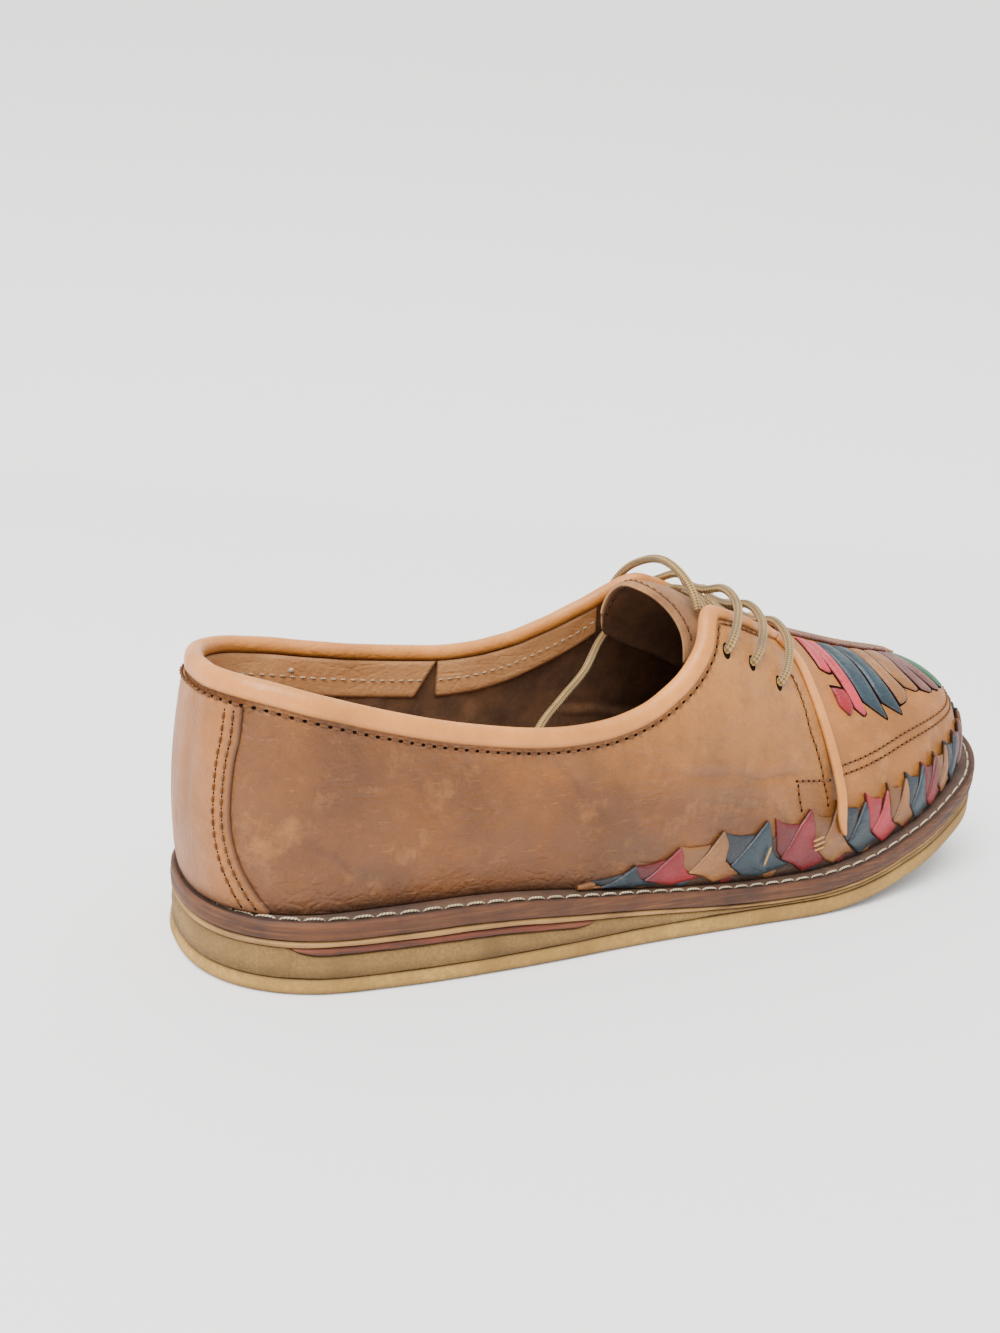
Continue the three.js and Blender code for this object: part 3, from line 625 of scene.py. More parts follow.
def leather(name, colour, deep, pale, rough=0.46, relief=0.10, wear=0.5, top=0.0):
    """Vegetable-tanned cowhide with its grain on: pores and fine wrinkles, uneven dye, and wear
    where it is rubbed. It gives a warm, slightly waxy surface with a soft, broken shine. Real
    pores are finer than a millimetre, and are drawn at 0.9 mm so that they show."""
    material, tree, where = new_material(name)
    tone = stained(tree, colour, where, (deep, 26, 4.0, 0.55, 0.36, 0.64, 1.0),
                   (deep, 44, 2.0, 0.55, 0.42, 0.62, 0.45))
    if top:
        # Painted light: paler towards the collar and the vamp, where light from above falls, and painted
        # shade, darkest along the foot.
        axes = node(tree, "SeparateXYZ", {"Vector": where})
        forward = node(tree, "Math", {0: axes["X"], 1: 0.25}, operation="MULTIPLY")[0]
        rise = node(tree, "Math", {0: axes["Z"], 1: forward}, operation="ADD")[0]
        tone = faded(tree, tone, pale, rise, 0.034, 0.086, 0.0, top)
        tone = faded(tree, tone, deep, rise, 0.038, 0.008, 0.0, 0.5)
    tone = stained(tree, tone, where, (deep, 6, 5.0, 0.65, 0.46, 0.74, wear),
                   (pale, 11, 6.0, 0.7, 0.54, 0.74, wear), (deep, 0.5, 2.0, 0.55, 0.35, 0.7, 0.22))
    tone = shaded_and_dirtied(tree, tone, "#2A160D")
    drawn_out = node(tree, "Mapping", {"Vector": where, "Scale": (0.09, 0.6, 1.0),
                                       "Rotation": (0.2, 0.35, 0.3)})[0]
    tone = stained(tree, tone, drawn_out, (pale, 0.55, 3.0, 0.6, 0.63, 0.70, 0.5 * wear))
    pores = node(tree, "TexVoronoi", {"Vector": where, "Scale": per_mm(0.9)},
                 feature="SMOOTH_F1")["Distance"]
    wrinkles = node(tree, "TexNoise", {"Vector": where, "Scale": per_mm(2.6), "Detail": 4.0,
                                       "Roughness": 0.6})[0]
    grain = node(tree, "Math", {0: wrinkles, 1: 1.6, 2: pores}, operation="MULTIPLY_ADD")[0]
    bent = node(tree, "Mapping", {"Vector": where, "Scale": (0.5, 1.0, 1.0),
                                  "Rotation": (0.1, -0.5, 0.2)})[0]
    folds = node(tree, "TexVoronoi", {"Vector": bent, "Scale": per_mm(3.4)},
                 feature="DISTANCE_TO_EDGE")["Distance"]
    folds = node(tree, "MapRange", {"Value": folds, "From Max": 0.16})[0]
    worn = node(tree, "TexNoise", {"Vector": where, "Scale": per_mm(19), "Detail": 3.0,
                                   "Roughness": 0.55})[0]
    worn = node(tree, "MapRange", {"Value": worn, "From Min": 0.42, "From Max": 0.62, "To Max": 0.9})[0]
    relief_map = node(tree, "Math", {0: folds, 1: worn, 2: grain}, operation="MULTIPLY_ADD")[0]
    polish = node(tree, "TexNoise", {"Vector": where, "Scale": per_mm(9), "Detail": 4.0,
                                     "Roughness": 0.55})[0]
    shine = node(tree, "MapRange", {"Value": polish, "From Min": 0.3, "From Max": 0.7,
                                    "To Min": rough - 0.08, "To Max": rough + 0.12})[0]
    return finished(material, tree, tone, shine, relief_map, relief)


def suede(name, colour, deep, sheen):
    """Leather with its flesh side out: a short nap that takes finger marks, quite without shine.
    The nap is finer than this in the real one, and is drawn at 0.5 mm so that it shows."""
    material, tree, where = new_material(name)
    tone = stained(tree, colour, where, (deep, 14, 5.0, 0.65, 0.38, 0.66, 1.0),
                   (deep, 0.7, 3.0, 0.55, 0.4, 0.7, 0.4))
    nap = node(tree, "TexNoise", {"Vector": where, "Scale": per_mm(0.5), "Detail": 3.0,
                                  "Roughness": 0.7})[0]
    return finished(material, tree, shaded_and_dirtied(tree, tone, "#2A1812"), 0.9, nap, 0.16, sheen=sheen)


def crepe(name, colour, deep, low, pore=1.6, relief=0.35):
    """Crumbed crepe rubber: a dull, pitted edge, darker in its pits. The second colour is that of
    the forefoot, where the edge is yellower."""
    material, tree, where = new_material(name)
    along = node(tree, "SeparateXYZ", {"Vector": where})["X"]
    tone = faded(tree, colour, low, along, -0.03, 0.03)
    tone = stained(tree, tone, where, (deep, 18, 4.0, 0.55, 0.35, 0.65, 0.8))
    crumb = node(tree, "TexNoise", {"Vector": where, "Scale": per_mm(pore), "Detail": 5.0,
                                    "Roughness": 0.7})[0]
    tone = faded(tree, tone, deep, crumb, 0.42, 0.62, 0.55, 0.0)
    tone = shaded_and_dirtied(tree, tone, "#2B211A", 0.95)
    return finished(material, tree, tone, 0.82, crumb, relief, ior=1.52)


def layered(name, colour, deep, pale, layer=0.75, streak=0.85):
    """The cut edge of stacked leather or fibre board: thin light and dark layers that lie along
    the sole, rubbed smooth but not polished."""
    material, tree, where = new_material(name)
    flat = node(tree, "Mapping", {"Vector": where, "Scale": (0.045, 0.045, 1.0)})[0]
    layers = node(tree, "TexNoise", {"Vector": flat, "Scale": per_mm(layer), "Detail": 4.0,
                                     "Roughness": 0.6})[0]
    tone = stained(tree, colour, where, (deep, 16, 5.0, 0.6, 0.35, 0.68, 1.0))
    tone = faded(tree, tone, pale, layers, 0.5, 0.66, 0.0, 0.8 * streak)
    tone = faded(tree, tone, "#2C1A11", layers, 0.3, 0.44, streak, 0.0)
    fibres = node(tree, "TexNoise", {"Vector": where, "Scale": per_mm(1.3), "Detail": 3.0,
                                     "Roughness": 0.55})[0]
    cut = node(tree, "Math", {0: fibres, 1: 0.6, 2: layers}, operation="MULTIPLY_ADD")[0]
    return finished(material, tree, shaded_and_dirtied(tree, tone, "#2B1C15"), 0.72, cut, 0.22)


def thread(name, colour, deep, ply=0.5, radius=0.32, sheen=0.25):
    """Waxed sewing thread: plies that run round it at a slant, so that it looks corded."""
    material, tree, where = new_material(name)
    place = node(tree, "Attribute", attribute_name="place")["Vector"]
    split = node(tree, "SeparateXYZ", {"Vector": place})
    slant = node(tree, "Math", {0: split["Y"], 1: ply / (2 * math.pi * radius), 2: split["X"]},
                 operation="MULTIPLY_ADD")[0]
    turn = node(tree, "Math", {0: slant, 1: 2 * math.pi * per_mm(ply)}, operation="MULTIPLY")[0]
    wave = node(tree, "Math", {0: turn}, operation="SINE")[0]
    plies = node(tree, "MapRange", {"Value": wave, "From Min": -1.0, "From Max": 0.2})[0]
    tone = node(tree, "Mix", {0: plies, 6: deep, 7: colour}, data_type="RGBA")[2]
    tone = stained(tree, tone, where, (deep, 8, 3.0, 0.55, 0.45, 0.7, 0.6))
    return finished(material, tree, tone, 0.8, plies, 0.12, sheen=sheen)


def braid(name, colour, deep, pitch=1.9, around=6, radius=1.35):
    """Braided cotton lace: strands that cross in diamonds, dull and a little fuzzy. The fuzz is
    drawn at 0.35 mm, coarser than the real fibres, so that it shows."""
    material, tree, where = new_material(name)
    place = node(tree, "Attribute", attribute_name="place")["Vector"]
    split = node(tree, "SeparateXYZ", {"Vector": place})
    turn = node(tree, "Math", {0: split["Y"], 1: per_mm(radius) * around / 2}, operation="MULTIPLY")[0]
    run = node(tree, "Math", {0: split["X"], 1: 2 * math.pi * per_mm(pitch)}, operation="MULTIPLY")[0]
    waves = []
    for way in ("ADD", "SUBTRACT"):
        angle = node(tree, "Math", {0: run, 1: turn}, operation=way)[0]
        waves.append(node(tree, "Math", {0: angle}, operation="SINE")[0])
    crossings = node(tree, "Math", {0: waves[0], 1: waves[1]}, operation="MULTIPLY")[0]
    strands = node(tree, "MapRange", {"Value": crossings, "From Min": -0.6, "From Max": 0.5})[0]
    tone = node(tree, "Mix", {0: strands, 6: deep, 7: colour}, data_type="RGBA")[2]
    tone = stained(tree, tone, where, (deep, 9, 4.0, 0.55, 0.45, 0.72, 0.7))
    fuzz = node(tree, "TexNoise", {"Vector": where, "Scale": per_mm(0.35), "Detail": 3.0,
                                   "Roughness": 0.55})[0]
    relief = node(tree, "Math", {0: fuzz, 1: 0.5, 2: strands}, operation="MULTIPLY_ADD")[0]
    return finished(material, tree, tone, 0.86, relief, 0.3, sheen=0.2)


def unlit(name, colour):
    """Dark and without shine: painted shade for the inside of a hole or a slit, and the raw face of a
    cut.
    """
    material, tree, where = new_material(name)
    tone = stained(tree, colour, where, ("#000000", 5, 3.0, 0.55, 0.3, 0.7, 0.35))
    fibres = node(tree, "TexNoise", {"Vector": where, "Scale": per_mm(0.8), "Detail": 3.0,
                                     "Roughness": 0.55})[0]
    return finished(material, tree, tone, 0.95, fibres, 0.08, ior=1.15)


# Tan leathers of the upper. The body is the darkest and the most weathered, the vamp and the
# backstay are smoother, and the binding is thin, pale and even.
# The body's top paints light towards the collar and the vamp and shade along its foot.
BODY = leather("tan_leather", "#874C12", "#5B330C", "#B87A3A", rough=0.47, wear=0.4, relief=0.16, top=0.9)
VAMP = leather("tan_vamp_leather", "#AA692C", "#83501C", "#C28A50", rough=0.5, relief=0.14, wear=0.4)
BINDING = leather("pale_binding_leather", "#DC8C3E", "#B8732F", "#EBA660", rough=0.45, wear=0.3)
BACKSTAY_LEATHER = leather("backstay_leather", "#B06A28", "#88521E", "#C58646", rough=0.5, wear=0.4)
# The inside: a brown flesh-side lining, pale undyed strips along the collar and a worn insole.
LINING = suede("brown_lining", "#8A5E3A", "#5C3C22", sheen=0.03)
STRIP = leather("lining_strip_leather", "#EAAA6E", "#C28450", "#F2BE8C", rough=0.7, wear=0.25)
DARK_CUT = unlit("dark_cut_leather", "#24140D")
TONGUE_SUEDE = suede("tongue_suede", "#9A6A3E", "#704A2A", sheen=0.08)
TONGUE_RIM = suede("tongue_suede_rim", "#C08C58", "#936440", sheen=0.1)
INSOLE_LEATHER = leather("insole_leather", "#563521", "#3A2317", "#74492F", rough=0.6)
# Dyed leathers of the woven pieces: strong colours with a soft gloss, rubbed pale on top.
TEAL = leather("teal_leather", "#223A44", "#12222A", "#48626C", rough=0.44, wear=0.35)
RED = leather("red_leather", "#8E0E1A", "#580811", "#A83A3A", rough=0.44, wear=0.25)
PINK = leather("pink_red_leather", "#C42E3C", "#92202C", "#D8605A", wear=0.3)
MAUVE = leather("mauve_leather", "#7C5048", "#573634", "#A47868", rough=0.5)
GREEN = leather("green_leather", "#3F6A4C", "#28452F", "#789878", rough=0.5)
WOVEN_TAN = leather("woven_tan_leather", "#99622E", "#6E441D", "#B9854E")
# Threads and laces: the thick welt thread is cream, and the seams are sewn in dark brown.
WELT_THREAD = thread("cream_welt_thread", "#C6B391", "#7A6848", ply=0.9, radius=0.35)
SEAM_THREAD = thread("brown_thread", "#7C4A1C", "#38200F", sheen=0.0)
WHITE_THREAD = thread("white_thread", "#D2C3A6", "#94835F")
YELLOW_THREAD = thread("yellow_thread", "#C9963A", "#8C6420", ply=0.6, radius=0.4)
LACE = braid("cotton_lace", "#B48E48", "#614826")
# The sole: two crepes that look crumbly, and cut edges that look striped.
OUTSOLE_CREPE = crepe("yellow_crepe", "#B08A44", "#866229", low="#B08A44")
WEDGE_CREPE = crepe("khaki_crepe", "#93703A", "#64491F", low="#A98245", pore=0.8, relief=0.4)
RUNNER_EDGE = layered("light_runner_edge", "#A47A42", "#7C582C", "#B8905C", layer=0.5, streak=0.4)
MIDSOLE_EDGE = layered("midsole_leather_edge", "#5F3414", "#3C1E0C", "#82522A", streak=0.45)
SHIM_EDGE = layered("shim_leather_edge", "#6C3016", "#47200F", "#844A2C", layer=1.2)
LEDGE_TOP = leather("ledge_leather", "#6A4A32", "#3F2A1D", "#8A6846", rough=0.65)
# Needle holes and eyelets, and the slits between the vamp's strips: near-black, as painted shade for
# their insides.
HOLE_AND_SLIT_SHADE = unlit("hole_and_slit_shade", "#140A05")

# ------------------------------------------------------------------ laces that hang free

LACE_RADIUS = 1.35
# The loop that arches over the tongue, from its inner side to its outer side.
LACE_LOOP = [
    (1.0, 26.9, 87.5), (2.4, 25.2, 93.2), (4.4, 21.0, 99.4), (6.0, 14.0, 103.2),
    (6.4, 7.0, 104.4), (6.3, 0.0, 103.2), (6.3, -8.0, 99.1), (5.8, -13.2, 94.4), (5.2, -15.6, 91.2)]
# The loose end, which falls into the shoe and lies on the insole.
LACE_END = [
    (4.0, 20.7, 83.6), (-3.0, 20.8, 75.4), (-14.6, 12.5, 66.4), (-26.6, 6.5, 59.3),
    (-38.1, 0.0, 52.4), (-46.0, -8.0, 44.5), (-51.0, -16.0, 36.0), (-56.0, -22.0, 28.2),
    (-64.0, -25.0, 25.0), (-76.0, -24.5, 24.6), (-90.0, -22.0, 24.6)]


def free_lace(name, route):
    """A lace that keeps its own route, made round along it and given to the frame."""
    path = smooth_path(route, 0.9)
    piece = Piece(name + "_braid")
    points, faces, place = cord_part(path, LACE_RADIUS, 16, taper=1.2)
    piece.add(points, faces, place=place)
    made = piece.build([LACE], "lace", [name])


free_lace("lace_loop", LACE_LOOP)
free_lace("lace_end", LACE_END)

# ------------------------------------------------------------------ the camera

# Low behind the heel on the outer side: the way back from the view, its upright, and its place.
CAMERA_BACK = Vector((-0.5043, -0.8354, 0.2188))
CAMERA_UP = Vector((0.0343, 0.2338, 0.9717))
CAMERA_PLACE = (-200.0, -241.7, 135.9)
SENSOR, LENS = 36.0, 35.56


def add_camera():
    data = bpy.data.cameras.new("camera")
    data.sensor_fit = "HORIZONTAL"
    data.sensor_width = SENSOR
    data.lens = LENS
    data.clip_start = 0.01
    camera = bpy.data.objects.new("camera", data)
    back = CAMERA_BACK.normalized()
    right = CAMERA_UP.cross(back).normalized()
    up = back.cross(right)
    turn = Matrix((right, up, back)).transposed().to_4x4()
    camera.matrix_world = Matrix.Translation(Vector(world(CAMERA_PLACE))) @ turn
    bpy.context.scene.collection.objects.link(camera)
    bpy.context.scene.camera = camera


def add_floor():
    """A pale sweep: a floor that curves up into a wall behind the shoe."""
    away = -Vector((CAMERA_BACK.x, CAMERA_BACK.y, 0)).normalized()
    across = Vector((away.y, -away.x, 0))
    flat, radius, tall, wide = 1.6, 1.2, 6.0, 6.0
    bend = [(-4.0, 0.0), (flat, 0.0)]
    bend += [(flat + radius * math.sin(a), radius - radius * math.cos(a))
             for a in np.linspace(0.1, math.pi / 2, 16)]
    bend += [(flat + radius, tall)]
    points = [tuple(away * d + across * w + Vector((0, 0, h))) for d, h in bend for w in (-wide, wide)]
    faces = [(2 * i, 2 * i + 1, 2 * i + 3, 2 * i + 2) for i in range(len(bend) - 1)]
    mesh = bpy.data.meshes.new("floor")
    mesh.from_pydata(points, [], faces)
    mesh.polygons.foreach_set("use_smooth", [True] * len(mesh.polygons))
    material, tree, _ = new_material("studio_sweep_paper")
    mesh.materials.append(finished(material, tree, "#F6F5F3", 0.95))
    floor = bpy.data.objects.new("floor", mesh)
    bpy.context.scene.collection.objects.link(floor)


def add_lamp(name, kind, place, target, energy, **form):
    """A lamp of a kind and form, turned from its place towards its target."""
    data = bpy.data.lights.new(name, kind)
    data.energy = energy
    for key, value in form.items():
        setattr(data, key, value)
    lamp = bpy.data.objects.new(name, data)
    lamp.location = place
    aim = Vector(target) - Vector(place)
    lamp.rotation_euler = aim.to_track_quat("-Z", "Y").to_euler()
    bpy.context.scene.collection.objects.link(lamp)


def add_world():
    studio = bpy.data.worlds.new("studio")
    studio.use_nodes = True
    background = studio.node_tree.nodes["Background"].inputs
    background["Color"].default_value = linear("#F7F8FA")
    background["Strength"].default_value = 1.2
    bpy.context.scene.world = studio


add_camera()
add_floor()
add_world()
add_lamp("overhead", "SUN", (-0.50, -0.34, 1.3), (0, 0, 0), 4.2, angle=math.radians(45))
add_lamp("key", "AREA", (-0.9, -0.3, 0.9), (0, 0, 0.04), 9, shape="DISK", size=0.45)

# ------------------------------------------------------------------ the sole


SOLE_STATIONS, SHIM_STATIONS = 260, 140


def sole_outline(inset):
    """Points round the sole's outline, from the heel along the outer side and back."""
    u = np.linspace(0, 1, SOLE_STATIONS)
    lateral = np.stack(outline(LATERAL, u, even(inset)), -1)
    medial = np.stack(outline(MEDIAL, u, even(inset)), -1)[1:-1][::-1]
    return np.concatenate([lateral, medial])


def sole_piece(name, layer, materials, rings, shades, span=None, top_from=None):
    """A layer of the sole from rings of (inset, height function), which run from its underside
    up its edge to its top. Rings from top_from on have the second material."""
    u = np.linspace(0, 1, SOLE_STATIONS)
    if span:
        low, high = (station_at(x) for x in span)
        u = np.linspace(low, high, SHIM_STATIONS)
    sides = {LATERAL: [], MEDIAL: []}
    for inset, height_at in rings:
        for sign, edge in sides.items():
            x, y = outline(sign, u, even(inset))
            edge.append(np.stack([x, y, height_at(x)], -1))
    lateral, medial = (np.stack(edge, 1) for edge in sides.values())
    sections = np.concatenate([lateral, medial[:, ::-1]], 1)
    points, faces = swept(sections)
    n = len(rings)
    skins = [int(top_from is not None and j >= top_from) for j in range(n)]
    round_edge = [skins[min(j, 2 * n - 2 - j)] for j in range(2 * n - 1)] + [skins[-1]]
    # The shades darken each layer where it meets the next, in the stitch groove and on the ledge's top
    # under the upper, as painted shade, with grime along the outsole's bottom.
    shade = np.broadcast_to(np.array(shades + shades[::-1], float), sections.shape[:2])
    piece = Piece(name)
    piece.add(points, faces, round_edge * (len(u) - 1) + [0, 0], place=points, shade=shade.ravel())
    return piece.build(materials, layer, [layer])


def wobble(x, size, phase, amount):
    """Small hand-cut unevenness along the sole."""
    return amount * (np.sin(x / size + phase) + 0.6 * np.sin(x / size * 2.3 + phase * 1.7)) / 1.6


def level(name, rise, size=9.0, phase=0.0, amount=0.0):
    """A line a rise above the top of a layer of the sole, cut a little unevenly by hand."""
    return lambda x: height(name, x) + rise + wobble(x, size, phase, amount)


def floor_line(rise):
    """A line a rise above the sole's underside."""
    return lambda x: underside(x) + rise


def shim_thickness(x):
    from_end = np.minimum(x - SHIM["from"], SHIM["to"] - x)
    return SHIM["thickness"] * np.sqrt(np.clip(from_end / SHIM["taper"], 0, 1))


def under_shim(x):
    """The wedge's top: a hair below the shim where that lies, and up to the runner elsewhere."""
    shim = shim_thickness(x)
    return height("wedge", x) - shim - np.where(shim > 0, 0.12, -0.12)


def add_sole():
    sole_piece(
        "crepe_outsole", "outsole", [OUTSOLE_CREPE],
        [(1.8, floor_line(0)), (0.7, floor_line(0.25)), (0.1, floor_line(1.0)),
         (0.15, floor_line(1.9)), (0.25, level("outsole", -0.9)), (0.35, level("outsole", -0.25)),
         (0.9, level("outsole", 0.0))],
        [0.85, 0.6, 0.2, 0.0, 0.0, 0.2, 0.55])
    sole_piece(
        "crepe_wedge", "wedge", [WEDGE_CREPE],
        [(1.6, level("outsole", 0.1)), (0.75, level("outsole", 0.45, 5, 1, 0.12)),
         (0.45, lambda x: (height("outsole", x) + under_shim(x)) / 2),
         (0.65, lambda x: under_shim(x) - 0.35 + wobble(x, 4, 2, 0.1)), (1.5, under_shim)],
        [0.7, 0.25, 0.0, 0.12, 0.5])
    sole_piece(
        "leather_shim", "shim", [SHIM_EDGE],
        [(1.2, lambda x: height("wedge", x) - shim_thickness(x)),
         (0.45, lambda x: height("wedge", x) - shim_thickness(x) * 0.8 + wobble(x, 3, 0, 0.12)),
         (0.35, lambda x: height("wedge", x) - shim_thickness(x) * 0.3),
         (0.9, level("wedge", 0.0))],
        [0.7, 0.15, 0.05, 0.5], span=(SHIM["from"] + 0.2, SHIM["to"] - 0.2))
    sole_piece(
        "runner_layer", "runner", [RUNNER_EDGE],
        [(1.2, level("wedge", 0.14)), (0.3, level("wedge", 0.42, 6, 1, 0.1)),
         (0.2, level("layer", -0.5, 7, 2, 0.08)), (0.9, level("layer", -0.1))],
        [0.5, 0.1, 0.05, 0.5])
    groove = 0.5
    sole_piece(
        "leather_midsole", "midsole", [MIDSOLE_EDGE, LEDGE_TOP],
        [(1.2, level("layer", 0.05)), (0.2, level("layer", 0.4, 8, 0, 0.1)),
         (0.0, level("layer", 1.6, 12, 1, 0.08)), (0.25, level("layer", 2.5)),
         (0.1, level("ledge", -1.7, 10, 2, 0.1)), (0.15, level("ledge", -0.6)),
         (0.55, level("ledge", -0.08)), (1.0, level("ledge", 0.0)),
         (1.55, level("ledge", -groove)), (2.45, level("ledge", -groove)),
         (2.9, level("ledge", 0.0)), (9.5, level("ledge", 0.0)), (26.0, level("ledge", 0.0))],
        [0.8, 0.2, 0.0, 0.4, 0.05, 0.1, 0.3, 0.4, 0.9, 0.9, 0.4, 0.8, 0.8], top_from=7)
    add_welt_stitches()


def add_welt_stitches():
    """Lockstitches in the groove round the ledge."""
    ring = sole_outline(2.6)
    ring = np.concatenate([ring, ring[:1]])
    z = height("ledge", ring[:, 0]) - 0.45
    path = resample(np.column_stack([ring, z]), 900)
    normal = np.tile([0.0, 0.0, 1.0], (len(path), 1))
    stitches = Piece("welt_stitches")
    add_stitches(stitches, None, path, normal, pitch=6.0, length=5.2, radius=0.33, lift=0.24)
    stitches.build([WELT_THREAD], "midsole")


def inside_wall(x):
    """The insole's inset: the upper's inner face, and a little room beside it."""
    return last["inset"](x) + WALL + 0.6


def add_insole():
    u = np.linspace(0, 1, 120)
    across = np.linspace(-1, 1, 25)
    x, lateral = outline(LATERAL, u, inside_wall)
    _, medial = outline(MEDIAL, u, inside_wall)
    y = (lateral + medial)[:, None] / 2 + (medial - lateral)[:, None] / 2 * across[None]
    x = np.broadcast_to(x[:, None], y.shape)
    cup = 0.9 * across[None] ** 2
    dish = -0.5 * np.exp(-((x + 105) / 26) ** 2 - (y / 20) ** 2)
    low = height("ledge", x) + GAP
    top = np.stack([x, y, low + 1.6 + cup + dish], -1)
    bottom = np.stack([x, y, low], -1)
    points, faces, _ = sheet_solid(top, bottom)
    worn = np.exp(-((x + 105) / 28) ** 2 - (y / 22) ** 2)
    shade = np.concatenate([(0.45 - 0.25 * worn).ravel(), np.full(x.size, 0.6)])
    piece = Piece("insole_sheet")
    piece.add(points, faces, place=points, shade=shade)
    piece.build([INSOLE_LEATHER], "insole", ["insole"])


add_sole()
add_insole()

# ------------------------------------------------------------------ the upper

QUARTER_FRONT = {"foot": 53.0, "top": 44.5}
VAMP_DROP = 0.9
VAMP_FROM = 30.0
VAMP_THICKNESS = 1.1
# Creases where the shoe bends, as seen from the side: each runs from one (along, height) to
# another. A minus depth is a soft ridge beside the trough.
CREASES = [
    {"from": (-18, 48), "to": (40, 45.0), "spread": 1.5, "depth": 0.55},
    {"from": (-16, 50.6), "to": (34, 48), "spread": 2.0, "depth": -0.4},
    {"from": (-8, 40), "to": (24, 36), "spread": 1.8, "depth": 0.35},
    {"from": (18, 40), "to": (30, 30), "spread": 1.4, "depth": 0.4},
    {"from": (-60, 60), "to": (-34, 34), "spread": 3.4, "depth": 0.5},
    {"from": (-54, 61), "to": (-30, 40), "spread": 2.4, "depth": -0.35},
    {"from": (-84, 60), "to": (-70, 38), "spread": 2.6, "depth": 0.45},
    {"from": (-98, 58), "to": (-88, 40), "spread": 3.0, "depth": 0.35},
    {"from": (-126, 40), "to": (-100, 26), "spread": 4.0, "depth": 0.4},
]


def crease_press(p):
    """How far the creases press the leather in, and how much painted shade they leave in their troughs.
    """
    depth = np.zeros(p.shape[:-1])
    dark = np.zeros(p.shape[:-1])
    for crease in CREASES:
        a, b = np.array(crease["from"], float), np.array(crease["to"], float)
        d = b - a
        q = np.stack([p[..., 0], p[..., 2]], -1) - a
        run = np.clip((q @ d) / (d @ d), 0, 1)
        bend = 0.9 * np.sin(run * 7.0) + 0.4 * np.sin(run * 19.0)
        line = run[..., None] * d
        line[..., 1] += bend
        away = np.linalg.norm(q - line, axis=-1)
        ends = smooth(run, 0, 0.25) * smooth(1 - run, 0, 0.25)
        depth += crease["depth"] * ends * np.exp(-(away / crease["spread"]) ** 2)
        # Painted shade along the trough of each crease.
        if crease["depth"] > 0:
            dark += 0.32 * ends * np.exp(-(away / (0.32 * crease["spread"])) ** 2)
    return depth, dark


def slack(p):
    """Soft unevenness of leather that has been worn."""
    x, y, z = p[..., 0], p[..., 1], p[..., 2]
    return (0.22 * np.sin(x / 17 + z / 23 + 0.6) + 0.14 * np.sin(x / 8.3 - z / 11 + 1.9)
            + 0.10 * np.sin(y / 9 + x / 12 + 0.4))


def front_u(r):
    """The station of the quarter's front edge, at fraction r of its height."""
    return station_at(QUARTER_FRONT["foot"] + (QUARTER_FRONT["top"] - QUARTER_FRONT["foot"]) * r)


def quarter_grid(sign):
    """The (u, t) of a grid over one quarter, from the heel to its front edge."""
    s = np.linspace(0, 1, 236)
    r = np.linspace(0, 1, 96)
    u = s[:, None] * front_u(r)[None]
    top = top_edge(sign, s * front_u(1.0))
    t = top[:, None] * r[None]
    return u, t


def quarter_lift(sign, u, t, p):
    """How far the quarters' leather stands off the last, with its slack and its creases, and the painted
    shade in the creases.
    """
    depth, dark = crease_press(p)
    fade = smooth(t, 0.02, 0.12) * smooth(top_edge(sign, u) - t, 0.0, 0.06)
    foot = foot_x(u)
    clear = smooth(p[..., 2] - height("ledge", p[..., 0]) - band_height(foot), 0, 9)
    clear = np.where(foot > BAND["along"][0] - 6, clear, 1.0)
    return (0.8 * slack(p) * clear - depth) * fade, dark * fade


def foot_shade(p, u):
    """Painted shade where the upper meets the ledge."""
    rise = p[..., 2] - height("ledge", foot_x(u))
    return 0.75 * np.exp(-(rise / 2.6) ** 2) + 0.12 * np.exp(-rise / 12)


def on_ledge(grid):
    """A grid with its lowest row set down on the ledge."""
    grid[:, 0, 2] = height("ledge", grid[:, 0, 0]) + 0.1
    return grid


def round_heel(grids):
    """One grid from those of the two sides, joined at the heel."""
    return np.concatenate([grids[LATERAL][::-1], grids[MEDIAL][1:]])


def over_crest(grids):
    """One grid from those of the two sides, joined along the crest."""
    return np.concatenate([grids[LATERAL], grids[MEDIAL][:, ::-1][:, 1:]], 1)


def add_quarters():
    outers, inners, shades = {}, {}, {}
    for sign in (LATERAL, MEDIAL):
        u, t = quarter_grid(sign)
        p = last_point(sign, u, t)
        lift, dark = quarter_lift(sign, u, t, p)
        outers[sign] = on_ledge(on_last(sign, u, t, lift))
        inners[sign] = on_ledge(on_last(sign, u, t, -WALL + lift))
        # Painted shade along the foot and in the creases.
        shades[sign] = foot_shade(p, u) + dark
    shade = round_heel(shades)
    points, faces, parts = sheet_solid(round_heel(outers), round_heel(inners))
    piece = Piece("quarters")
    # The lining side gets an even, light painted shade.
    piece.add(points, faces, parts, place=points,
              shade=np.concatenate([shade.ravel(), np.full(shade.size, 0.25)]))
    piece.build([BODY, LINING, DARK_CUT], "upper", ["upper"])


